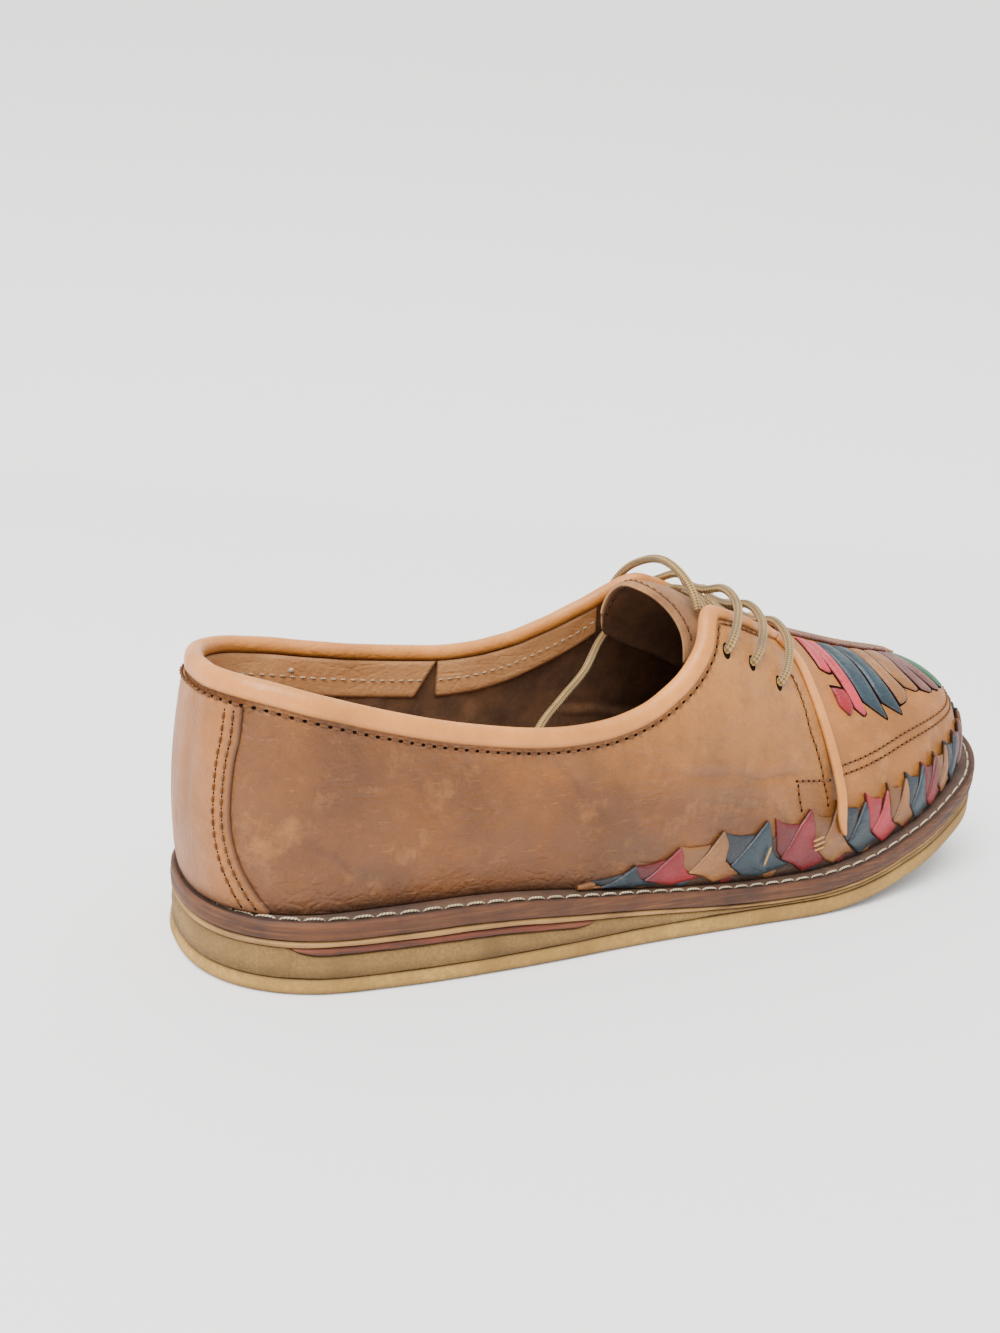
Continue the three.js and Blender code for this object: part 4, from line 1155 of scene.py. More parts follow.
def add_vamp():
    u_low = station_at(VAMP_FROM)
    u = np.linspace(0, 1, 150) ** 0.9 * (1 - u_low) + u_low
    u, t = np.meshgrid(u, np.linspace(0, 1, 64), indexing="ij")
    outers, inners, shades = {}, {}, {}
    for sign in (LATERAL, MEDIAL):
        p = last_point(sign, u, t)
        lift = -VAMP_DROP + 0.6 * slack(p) * smooth(t, 0.02, 0.1)
        outers[sign] = on_ledge(on_last(sign, u, t, lift))
        inners[sign] = on_ledge(on_last(sign, u, t, lift - VAMP_THICKNESS))
        # Painted shade along the foot, copied onto the lining side.
        shades[sign] = foot_shade(p, u)
    shade = over_crest(shades).ravel()
    points, faces, parts = sheet_solid(over_crest(outers), over_crest(inners))
    piece = Piece("vamp")
    piece.add(points, faces, np.minimum(parts, 1), place=points, shade=np.concatenate([shade, shade]))
    piece.build([VAMP, LINING], "upper")


add_quarters()
add_vamp()

# ------------------------------------------------------------------ lines laid on the last


def nearest(sign, q):
    """The (u, t) of the last's surface nearest to places given near it."""
    q = np.asarray(q, float)
    best = None
    for du in (-0.05, -0.025, 0.0, 0.025, 0.05):
        for t in np.linspace(0.02, 1.0, 26):
            u = np.clip(station_at(np.clip(q[:, 0], -140, 140)) + du, 0.002, 0.998)
            miss = np.linalg.norm(last_point(sign, u, t) - q, axis=-1)
            tt = np.full(len(q), t)
            if best is None:
                best = [miss, u, tt]
            else:
                closer = miss < best[0]
                best = [np.where(closer, new, old) for new, old in zip((miss, u, tt), best)]
    _, u, t = best
    step = 1e-4
    for _ in range(12):
        p = last_point(sign, u, t)
        by_u = (last_point(sign, u + step, t) - last_point(sign, u - step, t)) / (2 * step)
        by_t = (last_point(sign, u, t + step) - last_point(sign, u, t - step)) / (2 * step)
        away = q - p
        uu, tt, ut = ((a * b).sum(-1) for a, b in ((by_u, by_u), (by_t, by_t), (by_u, by_t)))
        ru, rt = (by_u * away).sum(-1), (by_t * away).sum(-1)
        det = uu * tt - ut * ut + 1e-6
        u = np.clip(u + np.clip((ru * tt - rt * ut) / det, -0.02, 0.02), 0.002, 0.998)
        t = np.clip(t + np.clip((rt * uu - ru * ut) / det, -0.04, 0.04), 0.002, 1.0)
    return u, t


def to_side(sign, places, axis=last["lean"]):
    """Places given for the outer side, or their mirror images for the inner side."""
    places = np.array(places, float)
    if sign > 0:
        places[:, 1] = 2 * axis(places[:, 0]) - places[:, 1]
    return places


def laid(sign, places, spacing=0.8, on_quarter=False):
    """A smooth line through given places, brought onto the last, with its normals."""
    u, t = nearest(sign, smooth_path(to_side(sign, places), spacing))
    lift = quarter_lift(sign, u, t, last_point(sign, u, t))[0] if on_quarter else 0.0
    return on_last(sign, u, t, lift), last_normal(sign, u, t)


# A place behind the shoe, which stands for the very back of the heel.
PAST_HEEL = -150


def edge_line(sign, low_x, high_x, below=0.0):
    """A line a distance below the top edge of the upper on one side, from heel to throat."""
    u = np.linspace(station_at(low_x), station_at(high_x), 500)
    t = top_edge(sign, u)
    point, normal = last_point(sign, u, t), last_normal(sign, u, t)
    down = unit(np.cross(normal, tangents(point))) * sign
    down = np.where(down[:, 2:] > 0, -down, down)
    if below:
        inside = u > 0.004
        point = point + down * below
        uu, tt = nearest(sign, point[inside])
        lift = quarter_lift(sign, uu, tt, last_point(sign, uu, tt))[0]
        point[inside], normal[inside] = on_last(sign, uu, tt, lift), last_normal(sign, uu, tt)
    point, normal = resample(point, int(arc_lengths(point)[-1]) + 2, normal)
    return point, unit(normal)


def rounded_loop(point, normal, section):
    """Sections set out along the normal and beyond the edge of the leather."""
    beyond = unit(np.cross(tangents(point), normal))
    section = np.array(section, float)
    return (point[:, None] + normal[:, None] * section[None, :, 0, None]
            + beyond[:, None] * section[None, :, 1, None])


# The rolled binding's section: how far out from the leather's face and how far past its edge.
BINDING_SECTION = [
    (0.0, -0.9), (0.6, -0.95), (1.0, -0.5), (1.25, 0.3), (1.4, 1.2), (1.4, 2.2), (1.15, 3.1),
    (0.6, 3.9), (-0.2, 4.4), (-1.2, 4.5), (-2.1, 4.2), (-2.9, 3.5), (-3.35, 2.5), (-3.4, 1.5),
    (-3.2, 0.7), (-2.6, 0.3), (-2.0, 0.0)]


def add_topline_binding():
    lateral, lateral_normal = edge_line(LATERAL, PAST_HEEL, THROAT_FRONT + 1)
    medial, medial_normal = edge_line(MEDIAL, PAST_HEEL, THROAT_FRONT + 1)
    point = np.concatenate([lateral[::-1], medial[1:]])
    normal = np.concatenate([lateral_normal[::-1], medial_normal[1:]])
    sections = rounded_loop(point, normal, BINDING_SECTION)
    s = arc_lengths(point)
    ripple = 0.12 * np.sin(s / 5.1) + 0.1 * np.sin(s / 2.3 + 1.0)
    sections = sections + normal[:, None] * ripple[:, None, None] * 0.8
    # Painted shade where the binding meets the leather, outside and inside the collar.
    shade = np.zeros(sections.shape[:2])
    shade[:, [0, 1]] = 0.7
    shade[:, 2] = 0.25
    shade[:, [14, 15]] = 0.4
    points, faces = swept(sections)
    piece = Piece("rolled_binding")
    piece.add(points, faces, place=points, shade=shade.ravel())
    piece.build([BINDING], "binding", ["topline_binding"])


# The front binding's line on the outer side, from the throat down to the ledge.
FRONT_LINE = [
    (40.5, -14.8, 82.2), (43.9, -16.8, 79.6), (46.3, -19.6, 76.0), (47.1, -22.9, 72.2),
    (47.4, -26.6, 67.6), (48.0, -30.0, 62.3), (48.8, -33.0, 56.9), (49.7, -35.6, 51.5),
    (50.2, -38.0, 46.0), (50.0, -39.8, 41.1), (49.6, -41.4, 35.5), (49.5, -42.4, 31.6),
    (50.0, -43.2, 28.2), (51.2, -43.9, 24.6)]


def add_front_binding(sign, name, node_name):
    centre, normal = laid(sign, FRONT_LINE, 0.7)
    s = arc_lengths(centre)
    run = s / s[-1]
    width = 5.2 - 1.3 * run
    width *= np.where(run > 0.9, np.sqrt(np.clip((1.0 - run) / 0.1, 0.0, 1)) * 0.85 + 0.15, 1)
    width *= 0.75 + 0.25 * smooth(run, 0, 0.06)
    over_braid = smooth(run, 0.58, 0.86)
    lift = 0.15 + 1.75 * over_braid + 0.5 * np.sin(np.clip((run - 0.74) / 0.26, 0, 1) * np.pi)
    points, faces, place, edge = strip_part(centre, normal, width, 1.15, crown=0.25, edge=0.45,
                                            across_steps=8, lift=lift)
    piece = Piece(name)
    # Painted shade along its edges, where it lies on the leather.
    piece.add(points, faces, place=place, shade=0.45 * smooth(edge, 0.8, 1.0))
    piece.build([BINDING], "binding", [node_name])


add_topline_binding()
add_front_binding(LATERAL, "front_binding_outer_side", "front_binding_lateral")
add_front_binding(MEDIAL, "front_binding_inner_side", "front_binding_medial")

# ------------------------------------------------------------------ the backstay

# The backstay's edge on the outer side, from the collar down to the ledge.
BACKSTAY_EDGE = [
    (-134.9, -19.7, 72.0), (-135.8, -20.6, 62.5), (-136.8, -20.4, 57.6), (-137.4, -20.7, 42.6),
    (-135.6, -22.4, 32.8), (-131.2, -25.3, 23.7), (-129.0, -27.0, 20.2)]
BACKSTAY_THICKNESS = 1.05


def backstay_width(sign):
    """The station of the backstay's edge as a function of the fraction t."""
    u, t = nearest(sign, smooth_path(to_side(sign, BACKSTAY_EDGE, middle), 2.0))
    order = np.argsort(t)
    return lambda at: np.interp(at, t[order], u[order])


def add_backstay():
    across = np.concatenate([[0], np.linspace(0.06, 0.94, 16), [0.965, 0.985, 1.0]])
    lifts = np.concatenate([np.full(17, BACKSTAY_THICKNESS), [1.0, 0.8, 0.3]])
    r = np.linspace(0, 1, 60)
    outers, inners, shades = {}, {}, {}
    for sign in (LATERAL, MEDIAL):
        edge = backstay_width(sign)
        top = top_edge(sign, 0.01)
        t = 0.004 + (top - 0.02) * r
        u = across[:, None] * edge(t)[None]
        tt = np.broadcast_to(t[None], u.shape)
        p = last_point(sign, u, tt)
        lift = lifts[:, None] + 0.5 * slack(p) * smooth(tt, 0.05, 0.2)
        crease = 0.35 * np.exp(-((across[:, None] - 0.28) / 0.10) ** 2) * smooth(r, 0.1, 0.5)[None]
        outers[sign] = on_last(sign, u, tt, lift - crease)
        inners[sign] = on_last(sign, u, tt, -0.1)
        to_edge = np.broadcast_to(across[:, None], u.shape)
        # Darker towards the folded edge and along the rim; painted shade along the foot, in the crease
        # and over the inner face.
        rim = 0.45 * smooth(to_edge, 0.80, 0.92) + 0.5 * smooth(to_edge, 0.965, 1.0)
        shades[sign] = np.maximum(rim, foot_shade(p, u)) + 0.5 * crease
    points, faces, _ = sheet_solid(round_heel(outers), round_heel(inners))
    shade = round_heel(shades).ravel()
    shade = np.concatenate([shade, np.full(shade.size, 0.8)])
    piece = Piece("heel_backstay")
    piece.add(points, faces, place=points, shade=shade)
    piece.build([BACKSTAY_LEATHER], "backstay", ["backstay"])


add_backstay()

# ------------------------------------------------------------------ the woven band

PITCH = 15.0
# Runs of the leaves' tips along the foot of the upper, in pitches, up to the toe.
TIPS = [0.0, 0.95, 1.92, 3.02, 4.15, 5.35, 6.20, 7.02, 7.76, 8.46, 9.10, 9.70, 10.30, 10.90, 11.5,
        12.1, 12.7, 13.3, 13.88]
# Outlines of a large leaf and of the one below its neighbour: how far along, in pitches, and
# how far up the band.
LEAF = [(-0.76, 0.36), (-0.34, 0.78), (0.0, 1.10), (0.10, 0.78), (0.13, 0.50), (0.30, 0.34),
        (0.62, 0.16), (0.22, 0.10), (-0.12, 0.06), (-0.46, 0.20)]
WEDGE_LEAF = [(-0.98, 1.06), (-0.74, 0.93), (-0.50, 0.88), (-0.26, 0.86), (-0.42, 0.46),
              (-0.66, 0.30), (-0.86, 0.46)]
TRACK_STATIONS = 700


def band_track():
    """The foot of the upper from the outer waist round the toe to the inner waist: how far
    along it each station lies, and the stations."""
    u = np.linspace(station_at(BAND["along"][0]), 1.0, TRACK_STATIONS)
    lateral = last_point(LATERAL, u, 0.0)
    medial = last_point(MEDIAL, u, 0.0)
    foot = np.concatenate([lateral, medial[::-1][1:]])
    return arc_lengths(foot), np.concatenate([u, u[::-1][1:]])


TRACK_RUN, TRACK_U = band_track()


def on_band(run, rise, lift):
    """Points a distance along the foot of the upper and up from it, with their normals."""
    run, rise, lift = np.broadcast_arrays(*(np.asarray(v, float) for v in (run, rise, lift)))
    run = np.clip(run, 0, TRACK_RUN[-1])
    u = np.clip(np.interp(run, TRACK_RUN, TRACK_U), 0, 0.9995)
    sign = np.where(run < TRACK_RUN[-1] / 2, LATERAL, MEDIAL)
    t = above_ledge(sign, u, np.maximum(rise, 0.05))
    return on_last(sign, u, t, lift), last_normal(sign, u, t)


def band_rise(run):
    """The height of the woven band at a distance along the foot of the upper."""
    return band_height(foot_x(np.interp(run, TRACK_RUN, TRACK_U)))


# A leaf's rings, from its underside round its cut edge and in over its top: their size, how
# far up the leather they lie and how much painted shade they carry.
LEAF_RINGS = [(1.0, -0.9, 1.0), (1.0, 0.0, 0.75), (0.975, 0.42, 0.3), (0.93, 0.62, 0.1),
              (0.82, 0.78, 0.0), (0.62, 0.92, 0.0), (0.36, 1.0, 0.0)]
LEAF_THICKNESS = 0.85


def leaf_part(piece, at, pitch, outline_points, skin, low, high, slope, dark_all=0.0):
    """A flat leather leaf with soft edges. Its lift runs from high at its heelward side, where it
    lies over its neighbour, to low at the other."""
    edge = smooth_closed(np.array(outline_points, float))
    middle_a, middle_h = edge.mean(0)

    def lift_at(a):
        return high + (low - high) * smooth(a, -0.7, 0.5)

    layers, shades = [], []
    for scale, rise, dark in LEAF_RINGS:
        a = middle_a + (edge[:, 0] - middle_a) * scale
        h = middle_h + (edge[:, 1] - middle_h) * scale
        lift = lift_at(a) + LEAF_THICKNESS * rise + slope * (h - 0.5)
        run = at + a * pitch
        layers.append(on_band(run, np.clip(h, 0.01, 1.1) * band_rise(run), lift)[0])
        shades.append(np.full(len(edge), max(dark, dark_all)))
    layers = np.array(layers)
    # The leaf's top centre takes its painted shade and its underside more.
    shade = np.concatenate([np.array(shades).ravel(), [dark_all, 0.6]])
    n, m = layers.shape[:2]
    run = at + middle_a * pitch
    top_and_bottom = lift_at(middle_a) + np.array([0.87, -0.8])
    centre, _ = on_band(np.full(2, run), np.full(2, middle_h) * band_rise(run), top_and_bottom)
    points = np.concatenate([layers.reshape(-1, 3), centre])
    faces = grid_faces(n, m, wrap=True)
    faces += [[(n - 1) * m + j, (n - 1) * m + (j + 1) % m, n * m] for j in range(m)]
    faces += [[(j + 1) % m, j, n * m + 1] for j in range(m)]
    piece.add(points, faces, skin, place=points, shade=shade)


def smooth_closed(edge):
    """A closed outline with its sides divided and its corners slightly rounded."""
    made = []
    for i in range(len(edge)):
        a, b, c = edge[i - 1], edge[i], edge[(i + 1) % len(edge)]
        made.append(b + 0.08 * (a - b))
        made.append(b + 0.02 * (a - b) + 0.02 * (c - b))
        made.append(b + 0.08 * (c - b))
        made.append(b + 0.5 * (c - b))
    return np.array(made)


# The small leaf that is tucked in at the foot of each large one.
TAB = [(0.02, 0.07), (0.10, 0.17), (0.27, 0.20), (0.36, 0.10), (0.27, 0.01), (0.08, 0.0)]
BAND_COLOURS = [RED, WOVEN_TAN, TEAL, PINK, MAUVE]
# The colour of each leaf from the waist to the toe, by its place in the list above.
LEAF_COLOURS = [1, 2, 0, 1, 2, 0, 1, 2, 3, 1, 2, 0, 1, 2, 4, 1, 2, 0, 1]
HAND_CUT = 0.025


def cut_leaf(pitch):
    """The outline of a leaf as cut by hand, a little shorter where the leaves stand close."""
    jitter = rng.normal(0, HAND_CUT, (len(LEAF), 2))
    short = 0.88 if pitch < 0.8 * PITCH else 1
    made = []
    for (a, h), (aside, up) in zip(LEAF, jitter):
        reach_up = short if h > 0.7 else 1
        made.append((a + aside, (h + up * 1.3) * reach_up))
    return made


def add_woven_band():
    piece = Piece("woven_leaves")
    runs = np.array(TIPS) * PITCH + (TRACK_RUN[-1] % PITCH) / 2
    tips = np.concatenate([runs, TRACK_RUN[-1] - runs[::-1]])
    for k, (at, own) in enumerate(zip(tips, LEAF_COLOURS + LEAF_COLOURS[::-1])):
        near = [abs(at - tips[n]) for n in (k - 1, k + 1) if 0 <= n < len(tips)]
        pitch = min(float(np.mean(near)), 1.25 * PITCH)
        # The leaf beneath each neighbour is darkened all over, and the tucked tab a little, as painted
        # shade.
        leaf_part(piece, at, pitch, WEDGE_LEAF, own, 0.10, 0.35, -0.2, 0.4)
        leaf_part(piece, at, pitch, cut_leaf(pitch), own, 0.25, 1.15, 0.2)
        other = (own + 2) % 3 if own < 3 else 0
        leaf_part(piece, at, pitch, TAB, other, -0.15, -0.05, 0.0, 0.2)
    piece.build(BAND_COLOURS, "woven", ["woven_band"])
    add_band_ground()
    add_loose_threads()


def add_band_ground():
    """The leather that shows between the leaves, darkened all over as painted shade."""
    run = np.linspace(0, TRACK_RUN[-1], 420)[:, None]
    rise = np.linspace(0.0, 0.72, 8)[None] * band_rise(run)
    top, _ = on_band(run, rise, 0.35)
    bottom, _ = on_band(run, rise, -0.6)
    points, faces, _ = sheet_solid(top, bottom)
    base = Piece("band_ground")
    base.add(points, faces, place=points, shade=0.55)
    base.build([LEDGE_TOP], "woven")


def add_loose_threads():
    """Short yellow threads left showing among the leaves."""
    piece = Piece("yellow_threads")
    for run, low, high, lean in ((84.6, 0.56, 0.60, 4.6), (84.9, 0.48, 0.52, 4.8),
                                 (85.4, 0.40, 0.43, 4.0), (65.6, 0.28, 0.62, 1.8)):
        h = np.linspace(low, high, 8)
        at = run + lean * (h - low) / (high - low)
        p, _ = on_band(at, h * band_rise(at), 2.15)
        points, faces, place = cord_part(p, 0.28, 6, taper=0.3)
        piece.add(points, faces, place=place)
    piece.build([YELLOW_THREAD], "woven")


add_woven_band()

# ------------------------------------------------------------------ the strips of the vamp

# Boundaries between the vamp's strips on the outer side, from the crest to the slits' ends.
STRIP_EDGES = [
    [(59.2, -5.6, 81.0), (58.4, -12.0, 78.4), (58.6, -18.0, 74.6),
     (59.6, -24.6, 67.8), (60.1, -30.4, 59.5)],
    [(62.6, -5.8, 80.4), (63.3, -12.0, 77.0), (64.1, -17.6, 73.2),
     (66.0, -24.9, 66.2), (67.8, -30.6, 58.0)],
    [(68.9, -5.8, 79.4), (69.2, -12.0, 76.0), (69.9, -17.4, 72.9),
     (71.4, -24.4, 66.3), (73.4, -31.2, 57.0)],
    [(77.2, -5.8, 77.8), (78.6, -12.0, 75.0), (79.9, -16.8, 71.8),
     (80.9, -24.7, 64.9), (83.0, -31.4, 56.0)],
    [(86.0, -5.6, 76.0), (86.6, -12.0, 73.6), (87.4, -18.1, 70.1),
     (89.4, -24.8, 63.9), (91.0, -30.4, 57.0)],
    [(93.6, -5.4, 74.6), (93.2, -12.0, 72.6), (93.9, -18.7, 68.8),
     (96.4, -22.0, 65.6), (99.2, -25.0, 62.4)],
    [(101.8, -5.2, 73.2), (102.2, -11.4, 71.6), (102.5, -17.8, 68.2),
     (104.6, -21.8, 64.8), (107.0, -24.8, 61.2)],
    [(105.0, -5.2, 72.4), (106.0, -12.6, 70.3), (109.0, -18.8, 66.3),
     (112.0, -21.4, 63.6), (115.0, -23.2, 61.0)],
    [(108.2, -5.0, 71.6), (110.4, -11.0, 70.0), (114.2, -16.6, 66.4),
     (117.6, -19.6, 63.4), (120.2, -21.4, 61.0)],
    [(111.4, -4.6, 70.8), (115.0, -9.4, 69.2), (119.4, -14.0, 66.0),
     (122.6, -16.6, 63.2), (125.0, -18.2, 61.0)]]


# A strip's section from its underside over its top and back: how far across, how far up and how
# much painted shade it carries.
STRIP_SECTION = np.array([
    (0, -0.8, 1.0), (0, 0.1, 0.75), (0.04, 0.62, 0.25), (0.12, 0.85, 0), (0.28, 0.98, 0), (0.5, 1.0, 0),
    (0.72, 0.98, 0), (0.88, 0.85, 0), (0.96, 0.62, 0.25), (1.0, 0.1, 0.75), (1.0, -0.8, 1.0)])
STRIP_FOOT, STRIP_UNDER = -1.1, -1.4
# The last strip colour is near-black, for sheets under the strips that show in the slits as painted
# shadow.
SHADOW_UNDER_STRIP = 6
# The vamp's strips from the throat to the toe: where each ends, its colour, the gap beside it,
# and where across it its tip lies and how long the tip is.
STRIP_COLOURS = [PINK, TEAL, WOVEN_TAN, MAUVE, GREEN, RED, HOLE_AND_SLIT_SHADE]
STRIPS = [
    (0.52, 0, 0.07, 0.6, 0.08), (0.97, 0, 0.07, 0.6, 0.08), (0.98, 1, 0.07, 0.9, 0.2),
    (0.98, 1, 0.07, 0.9, 0.2), (0.96, 2, 0.07, 0.6, 0.08), (0.92, 2, 0.07, 0.6, 0.08),
    (0.95, 3, 0.13, 0.6, 0.08), (0.95, 3, 0.13, 0.6, 0.08), (0.95, 4, 0.13, 0.6, 0.08)]


def boundary_line(sign, places):
    """The (u, t) of 40 even places along a boundary between two strips."""
    path = resample(smooth_path(to_side(sign, places), 1.0), 40)
    return np.stack(nearest(sign, path), -1)


def line_at(line, along):
    """Places along a boundary line, given as fractions of its length."""
    index = np.minimum(along, 1.0) * (len(line) - 1)
    before = np.clip(index.astype(int), 0, len(line) - 2)
    part = (index - before)[..., None]
    return line[before] * (1 - part) + line[before + 1] * part


def strip_between(piece, sign, edges, span, skin, low, high, tip=0.5, point=0.12, gap=0.05,
                  fork=False):
    """A strip of leather lying on the vamp between two boundaries, with a pointed end."""
    a, up, dark = STRIP_SECTION.T
    a = gap + (1 - 2 * gap) * a
    up = np.maximum(up, 0)[:, None]
    v = np.linspace(0, 1, 44)
    reach_out = np.abs(a - tip) / max(tip, 1 - tip)
    if fork:
        reach_out = 1 - np.abs(np.abs(a - 0.5) * 2 - 0.9)
    stop = span[1] - (span[1] - span[0]) * point * reach_out
    along = span[0] + (stop[:, None] - span[0]) * v[None]
    first, second = (line_at(line, along) for line in edges)
    place = first + (second - first) * a[:, None, None]
    top = low + (high - low) * np.sin(v * np.pi) ** 0.6
    ends = smooth(v, 0, 0.05) * smooth(1 - v, 0, 0.03)
    lift = STRIP_FOOT + (top - STRIP_FOOT) * up * (0.55 + 0.45 * ends)
    outer = on_last(sign, place[..., 0], place[..., 1], lift)
    inner = on_last(sign, place[..., 0], place[..., 1], STRIP_UNDER)
    points, faces, _ = sheet_solid(outer, inner)
    # Painted shade on the strip's sides and underside, towards its ends, and over its inner face.
    shade = np.maximum(dark[:, None], 0.55 * (1 - ends)).ravel()
    piece.add(points, faces, skin, place=points, shade=np.concatenate([shade, np.ones(shade.size)]))


def add_strips():
    piece = Piece("vamp_strips")
    for sign in (LATERAL, MEDIAL):
        lines = [boundary_line(sign, places) for places in STRIP_EDGES]
        for k, (end, skin, gap, tip, point) in enumerate(STRIPS):
            edges = lines[k:k + 2]
            # A near-black sheet a little wider than the strip, painted shadow in the slits beside it.
            strip_between(piece, sign, edges, (0.0, end + 0.015), SHADOW_UNDER_STRIP, -0.38, -0.38, tip, point,
                          gap=-0.05)
            strip_between(piece, sign, edges, (0.0, end), skin, -0.1, 0.55, tip, point, gap)
        edges = lines[:2]
        strip_between(piece, sign, edges, (0.70, 1.0), 5, 0.1, 0.75, point=0.35, fork=True)
        # A near-black sheet at the forked strip's end, painted shadow under its edge.
        strip_between(piece, sign, edges, (0.665, 0.70), SHADOW_UNDER_STRIP, -0.5, -0.35, point=0.0, gap=0.0)
    piece.build(STRIP_COLOURS, "woven")


PLAIT = {"from": 55.0, "to": 113.0, "pitch": 2.05, "half": 5.2, "narrowing": 0.022, "slant": 2.2}


def add_plait():
    """The narrow plait along the crest of the vamp."""
    piece = Piece("crest_plait")
    for k, x in enumerate(np.arange(PLAIT["from"], PLAIT["to"], PLAIT["pitch"])):
        way = 1 if k % 2 else -1
        half = PLAIT["half"] - PLAIT["narrowing"] * (x - PLAIT["from"])
        y = np.linspace(-1, 1, 13)
        place = np.stack([x + way * y * PLAIT["slant"], last["lean"](x) + y * half, 0 * y], -1)
        point, normal = [], []
        for sign, on_side in ((LATERAL, y <= 0), (MEDIAL, y > 0)):
            q = place[on_side]
            q[:, 2] = last["ridge"](q[:, 0]) - 0.02 * (q[:, 1] - last["lean"](q[:, 0])) ** 2
            u, t = nearest(sign, q)
            point.append(last_point(sign, u, t))
            normal.append(last_normal(sign, u, t))
        point, normal = np.concatenate(point), np.concatenate(normal)
        weave = 0.275 * np.cos(y * np.pi)
        points, faces, place, edge = strip_part(point, unit(normal), 2.9, 0.9, crown=0.35,
                                                across_steps=6, lift=weave - 0.4)
        # Painted shade along each strand's edges, where it lies against its neighbours.
        piece.add(points, faces, k % 2, place=place, shade=0.5 * smooth(edge, 0.75, 1.0))
    piece.build([WOVEN_TAN, MAUVE], "woven")


add_strips()
add_plait()

# ------------------------------------------------------------------ seams

# How far above the foot the two seams round the vamp run.
SEAM_RISES = (30.2, 27.4)
# The seam behind the front binding, and the rows of the small patch at its foot.
FRONT_SEAM = [
    (37.6, -25.6, 73.3), (38.8, -26.6, 71.3), (39.9, -29.3, 67.0),
    (40.5, -31.9, 62.2), (41.0, -34.6, 56.9), (42.9, -36.9, 50.8), (44.3, -38.8, 45.3),
    (45.2, -40.4, 40.2)]
CORNER_SEAMS = [
    [(32.3, -40.5, 42.7), (40.0, -40.3, 42.0), (47.9, -39.8, 41.4)],
    [(32.8, -41.0, 41.2), (33.2, -41.6, 38.0), (34.3, -42.1, 33.6)],
    [(45.2, -40.4, 40.2), (45.9, -41.2, 37.5), (46.2, -42.0, 34.0)]]


def add_seams():
    stitches, holes = Piece("seam_stitches"), Piece("seam_holes")
    for sign in (LATERAL, MEDIAL):
        add_collar_seam(stitches, holes, sign)
        point, normal = laid(sign, FRONT_SEAM, on_quarter=True)
        add_stitches(stitches, holes, point, normal, 2.9, 2.0, 0.30, hole=(0.75, 0.45), lift=0.05)
        for places in CORNER_SEAMS:
            point, normal = laid(sign, places, on_quarter=True)
            add_stitches(stitches, holes, point, normal, 2.6, 1.8, 0.28, hole=(0.75, 0.45), lift=0.05)
        add_backstay_seams(stitches, holes, sign)
    for rise in SEAM_RISES:
        add_vamp_seam(stitches, holes, rise)
    stitches.build([SEAM_THREAD], "upper")
    holes.build([HOLE_AND_SLIT_SHADE], "upper")


def add_collar_seam(stitches, holes, sign):
    """The seam below the binding, which climbs over the backstay at the heel."""
    point, normal = edge_line(sign, PAST_HEEL, THROAT_FRONT - 19, below=2.3)
    over = (BACKSTAY_THICKNESS + 0.05) * smooth(-point[:, 0], 132.5, 134.5)
    add_stitches(stitches, holes, point + normal * over[:, None], normal, 3.1, 2.1, 0.34,
                 hole=(0.66, 0.44), lift=0.05)


def add_backstay_seams(stitches, holes, sign):
    """Two rows along the backstay's edge."""
    edge = backstay_width(sign)
    t = np.linspace(0.02, float(top_edge(sign, 0.01)) - 0.03, 90)
    for back in (0.07, 0.16):
        u = edge(t) * (1 - 1.35 * back)
        line, normal = resample(on_last(sign, u, t, 1.0), 200, last_normal(sign, u, t))
        add_stitches(stitches, holes, line, unit(normal), 3.0, 2.0, 0.32, lift=0.05)


def add_vamp_seam(stitches, holes, rise):
    """A seam round the vamp, a rise above its foot, which comes lower towards the toe."""
    begin = np.interp(station_at(54.5), TRACK_U[:TRACK_STATIONS], TRACK_RUN[:TRACK_STATIONS])
    run = np.linspace(begin, TRACK_RUN[-1] - begin, TRACK_STATIONS)
    towards_toe = smooth(foot_x(np.interp(run, TRACK_RUN, TRACK_U)), 85, 135)
    point, normal = on_band(run, rise * (1 - 0.22 * towards_toe), 0.0)
    point = point + normal * (0.6 * slack(point) - VAMP_DROP)[:, None]
    point, normal = resample(point, TRACK_STATIONS, normal)
    add_stitches(stitches, holes, point, unit(normal), 2.5, 1.6, 0.28, hole=(0.7, 0.42), lift=0.04)


add_seams()

# ------------------------------------------------------------------ the tongue

# The tongue's half widths, the height of its crest and how far its sides fall.
TONGUE = rows(
    "along lateral medial crest depth",
    (-9, 17.0, 13.5, 97.6, 13.0), (-6, 21.5, 16.0, 98.0, 20.0), (-1, 22.5, 17.0, 98.0, 23.0),
    (6, 22.5, 17.5, 96.2, 24.0), (18, 21.0, 16.5, 92.2, 24.0), (30, 19.5, 15.5, 87.2, 23.0),
    (41, 18.0, 15.0, 83.0, 20.0), (53, 17.5, 14.5, 80.0, 18.0))
TONGUE_SPREAD = math.pi / 2.15
TONGUE_THICKNESS = 1.7
tongue_size = {name: column(TONGUE, name) for name in TONGUE if name != "along"}


def on_tongue(x, angle, lift=0.0):
    x, angle, lift = np.broadcast_arrays(np.asarray(x, float), np.asarray(angle, float), lift)
    half = np.where(angle < 0, tongue_size["lateral"](x), tongue_size["medial"](x)) + lift
    z = tongue_size["crest"](x) + lift - tongue_size["depth"](x) * (1 - np.cos(angle))
    fold = 0.35 * np.sin(x / 3.4 + 2 * angle) * np.exp(-((x - 16) / 16) ** 2)
    return np.stack([x, last["lean"](x) + half * np.sin(angle), z + fold], -1)


